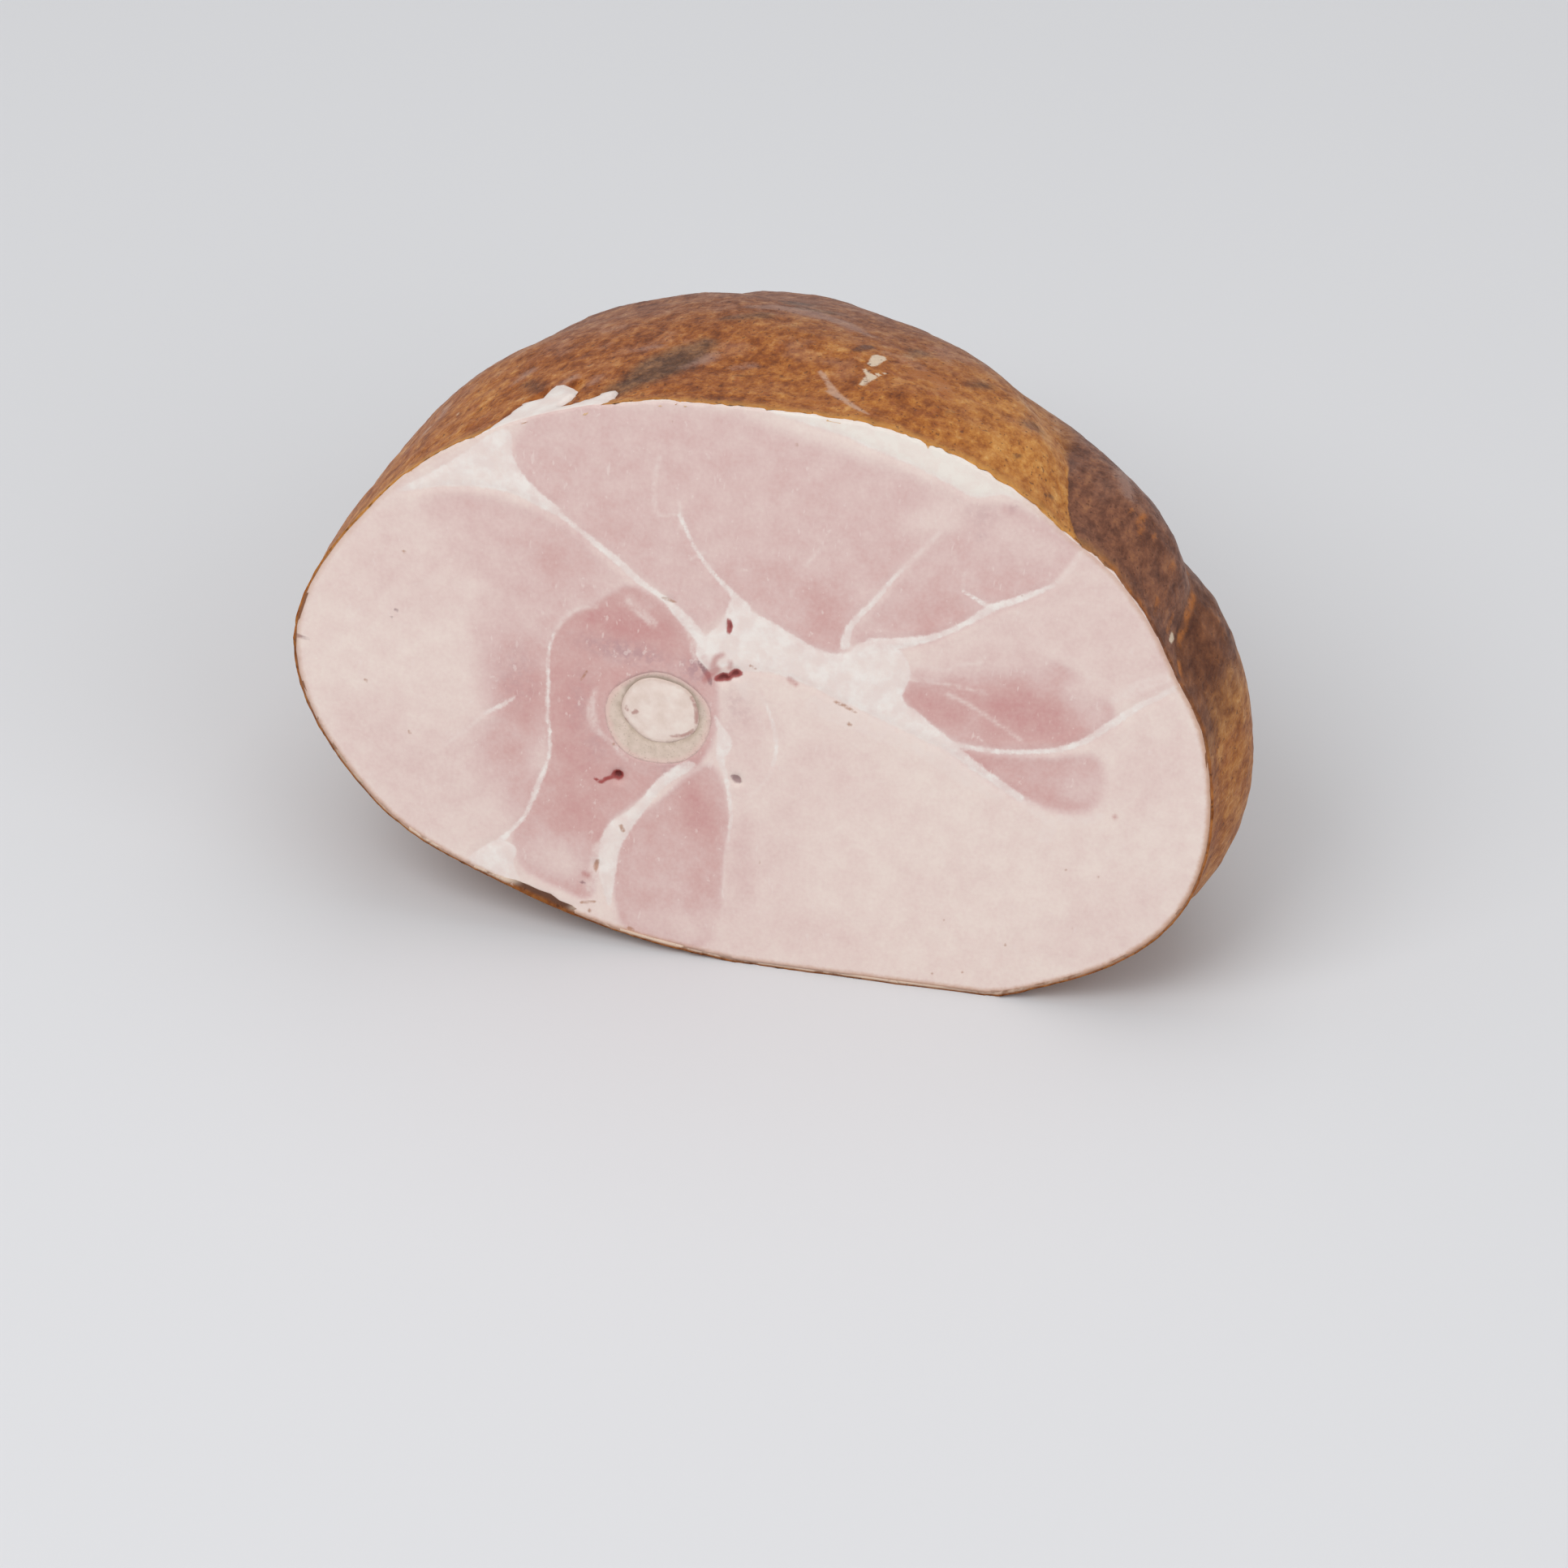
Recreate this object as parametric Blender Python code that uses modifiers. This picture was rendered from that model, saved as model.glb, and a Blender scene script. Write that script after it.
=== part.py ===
import math

import bmesh
import bpy
from mathutils import Vector

# Lengths in the named values are millimetres, worked into metres by place().
MM = 0.001

# The saw cut is a flat face that leans back from the foot, its lowest point.
# u runs to the right along it, v runs up it, and s runs from it into the ham.
CUT_LEAN = math.radians(13.0)
FOOT = (47.0, -103.3)
CUT_CENTRE = (-49.0, 66.0)

# Distance from the centre of the cut to its rim, every 22.5 degrees from the right.
CUT_RADII = (102, 89, 79, 72, 68, 72, 81, 93, 106, 95, 77, 68, 66, 74, 91, 107)

# Sections every 30 mm behind the cut: left, right, bottom, top, and roundness,
# which goes from 0, the outline of the cut, to 1, an ellipse.
SECTION_STEP = 30.0
SECTIONS = (
    (-155.0, 55.9, -2.9, 134.1, 0.00),
    (-155.5, 61.0, 2.0, 134.5, 0.00),
    (-155.0, 44.0, 9.0, 134.0, 0.28),
    (-148.5, 23.5, 17.0, 129.0, 0.43),
    (-144.5, 5.0, 25.0, 120.0, 0.75),
    (-133.5, -19.0, 33.0, 111.5, 0.89),
    (-121.0, -41.0, 40.0, 100.5, 1.00),
    (-107.0, -62.0, 48.0, 86.0, 1.00),
)

# The shank end is a flat saw face too, with an edge rounded by SHANK_EDGE.
SHANK_END = 192.0
SHANK_EDGE = 8.0

# The mesh: points in a ring, depth between rings, quarter turns of the rings round
# the shank's edge, and the steps in which the rim's length is measured.
RING_POINTS = 96
RING_STEP = 6.0
EDGE_TURNS = (0.4, 0.7, 0.9, 1.0)
FINE_STEPS = 1440

# Creases between the muscles of the right side: angle at the cut, angle gained
# over the first stretch, that stretch, where the crease has faded, depth, width.
CREASES = (
    (34.0, 7.0, 35.0, 100.0, 2.8, 5.0),
    (10.0, 7.5, 35.0, 90.0, 2.6, 5.0),
)

# Swellings of the rind: angle, height, width in degrees, depth of the middle, reach.
LOBES = (
    (26.0, 2.2, 9.0, 30.0, 38.0),
    (-3.0, 1.3, 12.0, 30.0, 38.0),
    (49.0, 1.8, 9.0, 62.0, 26.0),
    (155.0, 3.4, 13.0, 26.0, 24.0),
)

# One small knuckle high on the left: angle, depth, height, width.
KNUCKLE = (134.0, 94.0, 1.7, 9.0)

# Slow unevenness all round: height, waves in a turn, depth that shifts them by a radian.
SWELLS = (
    (0.8, 3.0, 31.0),
    (0.5, 7.0, -17.0),
)
SWELL_START = 30.0

# A crease starts as a notch in the rim of the cut, and is whole this far behind it.
CREASE_NOTCH = 0.4
CREASE_START = 15.0

# The thigh bone: a hollow shaft with marrow in it, from the cut to the shank end.
BONE_AT_CUT = (-69.8, 58.2)
BONE_AT_SHANK = (-83.0, 69.5)
BONE_RADIUS = 12.0
BONE_WALL = 3.3
BONE_STEPS = 16
BONE_BEVEL_RESOLUTION = 10
GAP = 0.3
CUTTER_OVERRUN = 6.0

RIND_COLOUR = (0.40, 0.15, 0.05, 1.0)
MEAT_COLOUR = (0.76, 0.50, 0.46, 1.0)
BONE_COLOUR = (0.72, 0.62, 0.48, 1.0)
MARROW_COLOUR = (0.82, 0.66, 0.56, 1.0)


def place(u, v, s):
    """The point at (u, v, s) of the cut's own directions, in metres."""
    lean_sin = math.sin(CUT_LEAN)
    lean_cos = math.cos(CUT_LEAN)
    x = FOOT[0] + u
    y = FOOT[1] + v * lean_sin + s * lean_cos
    z = v * lean_cos - s * lean_sin
    return Vector((x, y, z)) * MM


def hermite(before, start, end, after, t):
    """A smooth curve from start to end, whose slope follows the neighbours."""
    slope_start = (end - before) / 2.0
    slope_end = (after - start) / 2.0
    rise = t * t * (3.0 - 2.0 * t)
    return (start + (end - start) * rise
            + slope_start * t * (1.0 - t) ** 2
            - slope_end * t * t * (1.0 - t))


def smoothstep(x):
    x = min(max(x, 0.0), 1.0)
    return x * x * (3.0 - 2.0 * x)


def cut_radius(angle):
    """Distance from the centre of the cut to its rim at an angle in degrees."""
    count = len(CUT_RADII)
    where = (angle % 360.0) / 360.0 * count
    index = int(where)
    around = [CUT_RADII[(index + step) % count] for step in (-1, 0, 1, 2)]
    return hermite(*around, where - index)


def section_at(depth):
    """Left, right, bottom, top and roundness at a depth behind the cut."""
    last = len(SECTIONS) - 1
    index = min(int(depth / SECTION_STEP), last - 1)
    around = [SECTIONS[min(max(index + step, 0), last)] for step in (-1, 0, 1, 2)]
    t = depth / SECTION_STEP - index
    return [hermite(*values, t) for values in zip(*around)]


def even_angles():
    """Angles that space the points evenly along the rim of the cut."""
    fine_turn = 360.0 / FINE_STEPS
    lengths = [0.0]
    for k in range(FINE_STEPS):
        radius = cut_radius(k * fine_turn)
        rise = cut_radius((k + 1) * fine_turn) - radius
        lengths.append(lengths[-1] + math.hypot(radius * math.radians(fine_turn), rise))
    angles = []
    index = 0
    for k in range(RING_POINTS):
        target = lengths[-1] * k / RING_POINTS
        while lengths[index + 1] < target:
            index += 1
        angles.append(index * fine_turn)
    return angles


def bell(distance, width):
    return math.exp(-0.5 * (distance / width) ** 2)


def turn_between(angle, other):
    return (angle - other + 180.0) % 360.0 - 180.0


def relief(angle, depth, radius):
    """How far the rind stands out of the plain form, in millimetres."""
    arc = math.radians(1.0) * radius
    out = 0.0
    for start, gain, stretch, faded, deep, width in CREASES:
        centre = start + gain * min(depth / stretch, 1.0)
        grow = CREASE_NOTCH + (1.0 - CREASE_NOTCH) * smoothstep(depth / CREASE_START)
        fade = 1.0 - smoothstep((depth - stretch) / (faded - stretch))
        out -= deep * grow * fade * bell(turn_between(angle, centre) * arc, width)
    for centre, high, width, middle, reach in LOBES:
        out += high * bell(turn_between(angle, centre), width) * bell(depth - middle, reach)
    centre, middle, high, width = KNUCKLE
    out += high * bell(turn_between(angle, centre) * arc, width) * bell(depth - middle, width)
    swell = sum(high * math.sin(math.radians(waves * angle) + depth / reach)
                for high, waves, reach in SWELLS)
    return out + swell * smoothstep(depth / SWELL_START)


def end_inset(depth):
    """How far the rounded edge of the shank end draws in the section."""
    past = max(depth - (SHANK_END - SHANK_EDGE), 0.0) / SHANK_EDGE
    return SHANK_EDGE * (1.0 - math.sqrt(max(1.0 - past * past, 0.0)))


def ring_at(depth, angles):
    """One closed section of the ham, as points."""
    left, right, bottom, top, roundness = section_at(depth)
    rim = [(CUT_CENTRE[0] + cut_radius(a) * math.cos(math.radians(a)),
            CUT_CENTRE[1] + cut_radius(a) * math.sin(math.radians(a))) for a in angles]
    cut_left, cut_right, cut_bottom, cut_top = SECTIONS[0][:4]
    inset = end_inset(depth)
    points = []
    for angle, (rim_u, rim_v) in zip(angles, rim):
        x = (2.0 * rim_u - cut_left - cut_right) / (cut_right - cut_left)
        y = (2.0 * rim_v - cut_bottom - cut_top) / (cut_top - cut_bottom)
        turn = math.atan2(y, x)
        x += (math.cos(turn) - x) * roundness
        y += (math.sin(turn) - y) * roundness
        half_wide = (right - left) / 2.0 - inset
        half_high = (top - bottom) / 2.0 - inset
        stand = relief(angle, depth, math.hypot(x * half_wide, y * half_high))
        u = (left + right) / 2.0 + half_wide * x + stand * math.cos(turn)
        v = (bottom + top) / 2.0 + half_high * y + stand * math.sin(turn)
        resting_v = depth * math.tan(CUT_LEAN)
        points.append(place(u, max(v, resting_v), depth))
    return points


def ring_depths():
    """Even steps from the cut, then closer ones round the shank's edge."""
    straight = SHANK_END - SHANK_EDGE
    steps = round(straight / RING_STEP)
    depths = [straight * k / steps for k in range(steps + 1)]
    depths += [straight + SHANK_EDGE * math.sin(turn * math.pi / 2.0) for turn in EDGE_TURNS]
    return depths


def material(name, colour, roughness):
    mat = bpy.data.materials.new(name)
    mat.use_nodes = True
    shader = mat.node_tree.nodes["Principled BSDF"]
    shader.inputs["Base Color"].default_value = colour
    shader.inputs["Roughness"].default_value = roughness
    shader.inputs["Metallic"].default_value = 0.0
    mat.diffuse_color = colour
    return mat


def make_ham(collection):
    """The meat and its rind: sections lofted from the cut to the shank end."""
    angles = even_angles()
    bm = bmesh.new()
    rings = []
    for depth in ring_depths():
        rings.append([bm.verts.new(point) for point in ring_at(depth, angles)])
    for near, far in zip(rings, rings[1:]):
        for k in range(RING_POINTS):
            after = (k + 1) % RING_POINTS
            bm.faces.new((near[k], near[after], far[after], far[k]))
    for loop in (rings[0], rings[-1]):
        bm.faces.new(loop).material_index = 1
    bmesh.ops.recalc_face_normals(bm, faces=bm.faces)
    mesh = bpy.data.meshes.new("ham_meat")
    bm.to_mesh(mesh)
    bm.free()
    mesh.materials.append(material("smoked_rind", RIND_COLOUR, 0.55))
    mesh.materials.append(material("ham_cut", MEAT_COLOUR, 0.45))
    mesh.shade_smooth()
    mesh.set_sharp_from_angle(angle=math.radians(40.0))
    ham = bpy.data.objects.new("ham_meat", mesh)
    collection.objects.link(ham)
    return ham


def bone_route(overrun):
    """Points along the middle of the bone, square to the cut and to the shank end."""
    points = [place(*BONE_AT_CUT, -overrun)] if overrun else []
    for k in range(BONE_STEPS + 1):
        t = k / BONE_STEPS
        u = BONE_AT_CUT[0] + (BONE_AT_SHANK[0] - BONE_AT_CUT[0]) * smoothstep(t)
        v = BONE_AT_CUT[1] + (BONE_AT_SHANK[1] - BONE_AT_CUT[1]) * smoothstep(t)
        points.append(place(u, v, SHANK_END * t))
    if overrun:
        points.append(place(*BONE_AT_SHANK, SHANK_END + overrun))
    return points


def make_shaft(name, radius, overrun, filled, collection):
    """A round rod or an open tube along the bone."""
    curve = bpy.data.curves.new(name, "CURVE")
    curve.dimensions = "3D"
    curve.bevel_depth = radius * MM
    curve.bevel_resolution = BONE_BEVEL_RESOLUTION
    curve.use_fill_caps = filled
    route = bone_route(overrun)
    spline = curve.splines.new("POLY")
    spline.points.add(len(route) - 1)
    for spot, point in zip(spline.points, route):
        spot.co = (*point, 1.0)
    shaft = bpy.data.objects.new(name, curve)
    collection.objects.link(shaft)
    return shaft


def make_bore_cutter(collection):
    """The tunnel that the bone lies in, as a closed mesh for the Boolean."""
    rod = make_shaft("bone_bore_curve", BONE_RADIUS + GAP, CUTTER_OVERRUN, True, collection)
    graph = bpy.context.evaluated_depsgraph_get()
    mesh = bpy.data.meshes.new_from_object(rod.evaluated_get(graph))
    bm = bmesh.new()
    bm.from_mesh(mesh)
    bmesh.ops.remove_doubles(bm, verts=bm.verts, dist=0.01 * MM)
    bmesh.ops.recalc_face_normals(bm, faces=bm.faces)
    bm.to_mesh(mesh)
    bm.free()
    cutter = bpy.data.objects.new("bone_bore", mesh)
    cutter.matrix_world = rod.matrix_world
    bpy.data.objects.remove(rod)
    collection.objects.link(cutter)
    cutter.hide_render = True
    cutter.display_type = "WIRE"
    return cutter


def main():
    for thing in list(bpy.data.objects):
        bpy.data.objects.remove(thing)
    parts = bpy.data.collections.new("bone_in_half_ham")
    cutters = bpy.data.collections.new("cutters")
    bpy.context.scene.collection.children.link(parts)
    bpy.context.scene.collection.children.link(cutters)

    ham = make_ham(parts)
    bore = ham.modifiers.new("bone bore", "BOOLEAN")
    bore.operation = "DIFFERENCE"
    bore.solver = "EXACT"
    bore.object = make_bore_cutter(cutters)

    bone = make_shaft("leg_bone", BONE_RADIUS, 0.0, False, parts)
    bone.data.materials.append(material("bone", BONE_COLOUR, 0.5))
    wall = bone.modifiers.new("bone wall", "SOLIDIFY")
    wall.thickness = BONE_WALL * MM
    wall.offset = -1.0

    marrow_radius = BONE_RADIUS - BONE_WALL - GAP
    marrow = make_shaft("bone_marrow", marrow_radius, 0.0, True, parts)
    marrow.data.materials.append(material("marrow", MARROW_COLOUR, 0.45))


main()
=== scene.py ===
import math

import bmesh
import bpy
import numpy as np
from mathutils import Matrix, Vector, noise


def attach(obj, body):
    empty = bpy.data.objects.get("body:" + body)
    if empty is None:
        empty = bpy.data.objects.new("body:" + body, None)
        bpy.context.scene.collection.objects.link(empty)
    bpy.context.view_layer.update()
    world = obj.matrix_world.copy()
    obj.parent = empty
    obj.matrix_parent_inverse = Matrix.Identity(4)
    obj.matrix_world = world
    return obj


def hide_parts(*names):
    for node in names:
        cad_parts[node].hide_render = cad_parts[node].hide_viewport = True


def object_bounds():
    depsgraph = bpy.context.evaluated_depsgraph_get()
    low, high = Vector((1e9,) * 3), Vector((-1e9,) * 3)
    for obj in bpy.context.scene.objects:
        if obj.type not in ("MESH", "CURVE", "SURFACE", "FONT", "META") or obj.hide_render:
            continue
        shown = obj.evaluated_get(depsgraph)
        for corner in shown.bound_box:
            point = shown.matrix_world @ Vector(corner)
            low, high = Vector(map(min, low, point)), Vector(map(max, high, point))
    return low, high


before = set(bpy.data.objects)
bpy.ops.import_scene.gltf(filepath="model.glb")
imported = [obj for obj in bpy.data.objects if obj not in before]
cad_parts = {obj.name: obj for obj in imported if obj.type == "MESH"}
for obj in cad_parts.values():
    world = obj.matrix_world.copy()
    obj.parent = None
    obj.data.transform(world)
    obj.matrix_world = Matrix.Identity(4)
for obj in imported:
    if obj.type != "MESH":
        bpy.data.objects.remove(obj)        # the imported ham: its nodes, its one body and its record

cadLow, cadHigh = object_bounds()
scene = bpy.context.scene
mm = 0.001
print("frame loaded, box", [round(side / mm, 1) for side in cadHigh - cadLow], "mm")


# The saw cut is a plane that leans back. Every shape below is made in its own
# millimetres: x to the right, y up the cut, z out of it, from its lowest point.
cut = {
    "lean": 13.0,               # degrees
    "footFromLeft": 155.8,      # from the left side of the box to the lowest point
    "centre": (-49.0, 66.0),
    "shankEnd": 192.0,          # how deep the shank end lies
    "skim": 0.12,               # how far the relief starts under the plane itself
}
lean = math.radians(cut["lean"])
foot = Vector((cadLow.x + cut["footFromLeft"] * mm, cadLow.y, cadLow.z))
cutRight = Vector((1.0, 0.0, 0.0))
cutUp = Vector((0.0, math.sin(lean), math.cos(lean)))
cutOut = cutRight.cross(cutUp)
cutPlace = Matrix.Translation(foot) @ Matrix((cutRight, cutUp, cutOut)).transposed().to_4x4()
cutPlace = cutPlace @ Matrix.Scale(mm, 4)
toCut = cutPlace.inverted()


def smoothstep(x):
    x = np.clip(x, 0.0, 1.0)
    return x * x * (3.0 - 2.0 * x)


def bell(x):
    return np.exp(-0.5 * x * x)


def smoothPath(points, step, closed=False):
    # a curve through rows of numbers, as rows spaced by about step
    points = np.array(points, float)
    count = len(points)
    rows = []
    for k in range(count if closed else count - 1):
        if closed:
            around = [(k + j) % count for j in (-1, 0, 1, 2)]
        else:
            around = [min(max(k + j, 0), count - 1) for j in (-1, 0, 1, 2)]
        a, b, c, d = points[around]
        steps = max(2, int(np.linalg.norm((c - b)[:2]) / step) + 1)
        t = (np.arange(steps) / steps)[:, None]
        bend = (2 * a - 5 * b + 4 * c - d) * t ** 2 + (3 * b - a - 3 * c + d) * t ** 3
        rows.append(b + 0.5 * ((c - a) * t + bend))
    if not closed:
        rows.append(points[-1:])
    return np.vstack(rows)


def strokeDepth(where, path, reach=6.0):
    # how deep each point lies in a stroke, whose rows are a place and a width
    size = where.shape[1]
    depth = np.full(len(where), -reach)
    low = path[:, :size].min(0) - reach
    high = path[:, :size].max(0) + reach
    near = np.flatnonzero(((where > low) & (where < high)).all(1))
    spots = where[near]
    best = depth[near]
    for start, end in zip(path[:-1], path[1:]):
        run = end[:size] - start[:size]
        t = np.clip((spots - start[:size]) @ run / max(run @ run, 1e-9), 0.0, 1.0)
        gap = np.linalg.norm(spots - start[:size] - t[:, None] * run, axis=1)
        best = np.maximum(best, (start[size] + (end[size] - start[size]) * t) / 2.0 - gap)
    depth[near] = best
    return depth


def outlineDepth(where, ring, reach=1000.0):
    # how deep each point lies in a closed outline, less than nought outside it
    depth = np.full(len(where), -reach)
    low = ring.min(0) - reach
    high = ring.max(0) + reach
    near = np.flatnonzero(((where > low) & (where < high)).all(1))
    spots = where[near]
    gap = np.full(len(spots), reach)
    inside = np.zeros(len(spots), bool)
    for start, end in zip(ring, np.roll(ring, -1, axis=0)):
        run = end - start
        t = np.clip((spots - start) @ run / max(run @ run, 1e-9), 0.0, 1.0)
        gap = np.minimum(gap, np.linalg.norm(spots - start - t[:, None] * run, axis=1))
        if start[1] != end[1]:
            crossing = (start[1] > spots[:, 1]) != (end[1] > spots[:, 1])
            side = start[0] + run[0] * (spots[:, 1] - start[1]) / run[1]
            inside ^= crossing & (spots[:, 0] < side)
    depth[near] = np.where(inside, gap, -gap)
    return depth


def cloud(places, size, seed, octaves=2):
    # slow noise, about -1 to 1, for rows of x, y, z
    shift = Vector((seed * 11.9, seed * 3.3, seed * 7.7))
    return np.array([noise.fractal(Vector(p) / size + shift, 1.0, 2.0, octaves) for p in places])


def nodeCopy(node):
    # a merged copy of a CAD node's mesh, in the cut's millimetres
    bm = bmesh.new()
    bm.from_mesh(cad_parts[node].data)
    bm.transform(toCut)
    bmesh.ops.remove_doubles(bm, verts=bm.verts, dist=0.02)
    return bm


def vertRows(bm):
    return np.array([v.co[:] for v in bm.verts])


def vertNormals(bm):
    bm.normal_update()
    return np.array([v.normal[:] for v in bm.verts])


def sawnFaces(bm, slack=0.05):
    # the faces that lie in either saw cut
    return [f for f in bm.faces if all(v.co.z > -slack for v in f.verts)
            or all(v.co.z < slack - cut["shankEnd"] for v in f.verts)]


def joinSquares(bm):
    bmesh.ops.join_triangles(bm, faces=bm.faces, angle_face_threshold=1.0, angle_shape_threshold=3.0)


def refineRim(bm, band, cuts):
    # smaller faces on the sides, as far as band behind the cut
    edges = [e for e in bm.edges if all(v.co.z > -band for v in e.verts)]
    bmesh.ops.subdivide_edges(bm, edges=edges, cuts=cuts, use_grid_fill=True)


def moveVerts(bm, rows):
    for v, row in zip(bm.verts, rows):
        v.co = row


def setFloats(bm, name, values):
    layer = bm.verts.layers.float.new(name)
    for v, value in zip(bm.verts, values):
        v[layer] = value


def openLoops(bm, low, high):
    # ordered vertices and edges of the open loops between two heights, the outermost first
    bm.edges.index_update()
    waiting = {e.index: e for e in bm.edges
               if len(e.link_faces) < 2 and all(low < v.co.z < high for v in e.verts)}
    loops = []
    while waiting:
        edge = waiting.pop(min(waiting))
        vert = edge.verts[1]
        verts = [vert]
        edges = [edge]
        while edge is not None:
            edge = next((e for e in vert.link_edges if e.index in waiting), None)
            if edge is not None:
                waiting.pop(edge.index)
                vert = edge.other_vert(vert)
                verts.append(vert)
                edges.append(edge)
        loops.append((verts, edges))
    return sorted(loops, key=lambda loop: min(v.co.x for v in loop[0]))


def gridFill(bm, loops, step):
    # fills the flat space that loops of edges bound: a fine grid, then a band to meet it
    rings = [np.array([v.co[:2] for v in verts]) for verts, edges in loops]
    height = sum(v.co.z for v in loops[0][0]) / len(loops[0][0])
    low = rings[0].min(0)
    span = rings[0].max(0) - low
    centre = low + span / 2.0
    made = bmesh.ops.create_grid(
        bm, x_segments=int(span[0] / step), y_segments=int(span[1] / step), size=0.5,
        matrix=Matrix.Translation((*centre, height)) @ Matrix.Diagonal((*span, 1.0, 1.0)))["verts"]
    where = np.array([v.co[:2] for v in made])
    room = outlineDepth(where, rings[0])
    for ring in rings[1:]:
        room = np.minimum(room, -outlineDepth(where, ring))
    margin = 0.7 * step
    near = [v for v, gap in zip(made, room) if gap < margin]
    bmesh.ops.delete(bm, geom=near, context="VERTS")
    made = [v for v in made if v.is_valid]
    pinched = made
    while pinched:
        pinched = [v for v in made if sum(len(e.link_faces) < 2 for e in v.link_edges) not in (0, 2)]
        bmesh.ops.delete(bm, geom=pinched, context="VERTS")
        made = [v for v in made if v.is_valid]
    edge = {e for v in made for e in v.link_edges if len(e.link_faces) == 1}
    bm.edges.index_update()
    rim = sorted(edge, key=lambda e: e.index)
    for verts, edges in loops:
        rim += edges
    bmesh.ops.triangle_fill(bm, use_beauty=True, use_dissolve=False, edges=rim, normal=(0.0, 0.0, 1.0))


sharpAngle = 48.0        # edges that turn by more than this stay crisp


def finishPiece(name, bm, material, node):
    bmesh.ops.recalc_face_normals(bm, faces=bm.faces)
    loose = sum(len(e.link_faces) != 2 for e in bm.edges)
    bm.transform(cutPlace)
    mesh = bpy.data.meshes.new(name)
    bm.to_mesh(mesh)
    bm.free()
    mesh.shade_smooth()
    mesh.set_sharp_from_angle(angle=math.radians(sharpAngle))
    mesh.materials.append(material)
    piece = bpy.data.objects.new(name, mesh)
    scene.collection.objects.link(piece)
    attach(piece, "root")
    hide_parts(node)
    mesh.calc_loop_triangles()
    print("made", name, len(mesh.loop_triangles), "triangles,", loose, "open edges")
    return piece


# Colours are given as the eye sees them, 0 to 255, and turned into light here.
def tint(red, green, blue):
    def light(value):
        value /= 255.0
        return value / 12.92 if value <= 0.04045 else ((value + 0.055) / 1.055) ** 2.4
    return (light(red), light(green), light(blue), 1.0)


class Shader:
    # short words for the nodes that the materials are drawn with

    def __init__(self, tree):
        self.tree = tree

    def add(self, kind, inputs=None, **settings):
        made = self.tree.nodes.new(kind)
        for name, value in settings.items():
            setattr(made, name, value)
        for name, value in (inputs or {}).items():
            self.plug(made.inputs[name], value)
        return made

    def plug(self, socket, value):
        if isinstance(value, bpy.types.NodeSocket):
            self.tree.links.new(value, socket)
        else:
            socket.default_value = value

    def math(self, operation, *values):
        made = self.add("ShaderNodeMath", operation=operation)
        for socket, value in zip(made.inputs, values):
            self.plug(socket, value)
        return made.outputs[0]

    def plus(self, first, second):
        return self.math("ADD", first, second)

    def times(self, first, second):
        return self.math("MULTIPLY", first, second)

    def scaled(self, value, factor, offset):
        return self.math("MULTIPLY_ADD", value, factor, offset)

    def attribute(self, name):
        return self.add("ShaderNodeAttribute", attribute_name=name).outputs["Fac"]

    def fade(self, value, start, end, low=0.0, high=1.0):
        made = self.add("ShaderNodeMapRange", interpolation_type="SMOOTHSTEP")
        for name, number in (("Value", value), ("From Min", start), ("From Max", end),
                             ("To Min", low), ("To Max", high)):
            self.plug(made.inputs[name], number)
        return made.outputs["Result"]

    def edge(self, name, wander, start, end, strength):
        # how far an attribute, made uneven by wander, has come from start to end
        return self.fade(self.plus(self.attribute(name), wander), start, end, 0.0, strength)

    def mix(self, share, first, second):
        made = self.add("ShaderNodeMix", data_type="RGBA")
        for index, value in ((0, share), (6, first), (7, second)):
            self.plug(made.inputs[index], value)
        return made.outputs[2]

    def ramp(self, value, stops):
        made = self.add("ShaderNodeValToRGB")
        made.color_ramp.elements.remove(made.color_ramp.elements[1])
        made.color_ramp.elements[0].position = stops[0][0]
        made.color_ramp.elements[0].color = tint(*stops[0][1])
        for place, colour in stops[1:]:
            made.color_ramp.elements.new(place).color = tint(*colour)
        self.plug(made.inputs["Fac"], value)
        return made.outputs["Color"]

    def noise(self, where, size, detail=3.0, rough=0.55):
        # size is in millimetres, the answer is about 0 to 1 with its middle at 0.5
        made = self.add("ShaderNodeTexNoise", {"Vector": where, "Scale": 1.0 / (size * mm)})
        made.inputs["Detail"].default_value = detail
        made.inputs["Roughness"].default_value = rough
        return made.outputs["Fac"]

    def stretched(self, where, x, y, z):
        made = self.add("ShaderNodeMapping", {"Vector": where, "Scale": (x, y, z)})
        return made.outputs["Vector"]

    def roughen(self, surface, height, strength, distance):
        # distance is in millimetres
        made = self.add("ShaderNodeBump", {"Height": height})
        made.inputs["Strength"].default_value = strength
        made.inputs["Distance"].default_value = distance * mm
        self.plug(surface.inputs["Normal"], made.outputs["Normal"])


def newMaterial(name):
    mat = bpy.data.materials.new(name)
    mat.use_nodes = True
    shader = Shader(mat.node_tree)
    surface = mat.node_tree.nodes["Principled BSDF"]
    where = shader.add("ShaderNodeTexCoord").outputs["Object"]
    return mat, shader, surface, where


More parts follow.
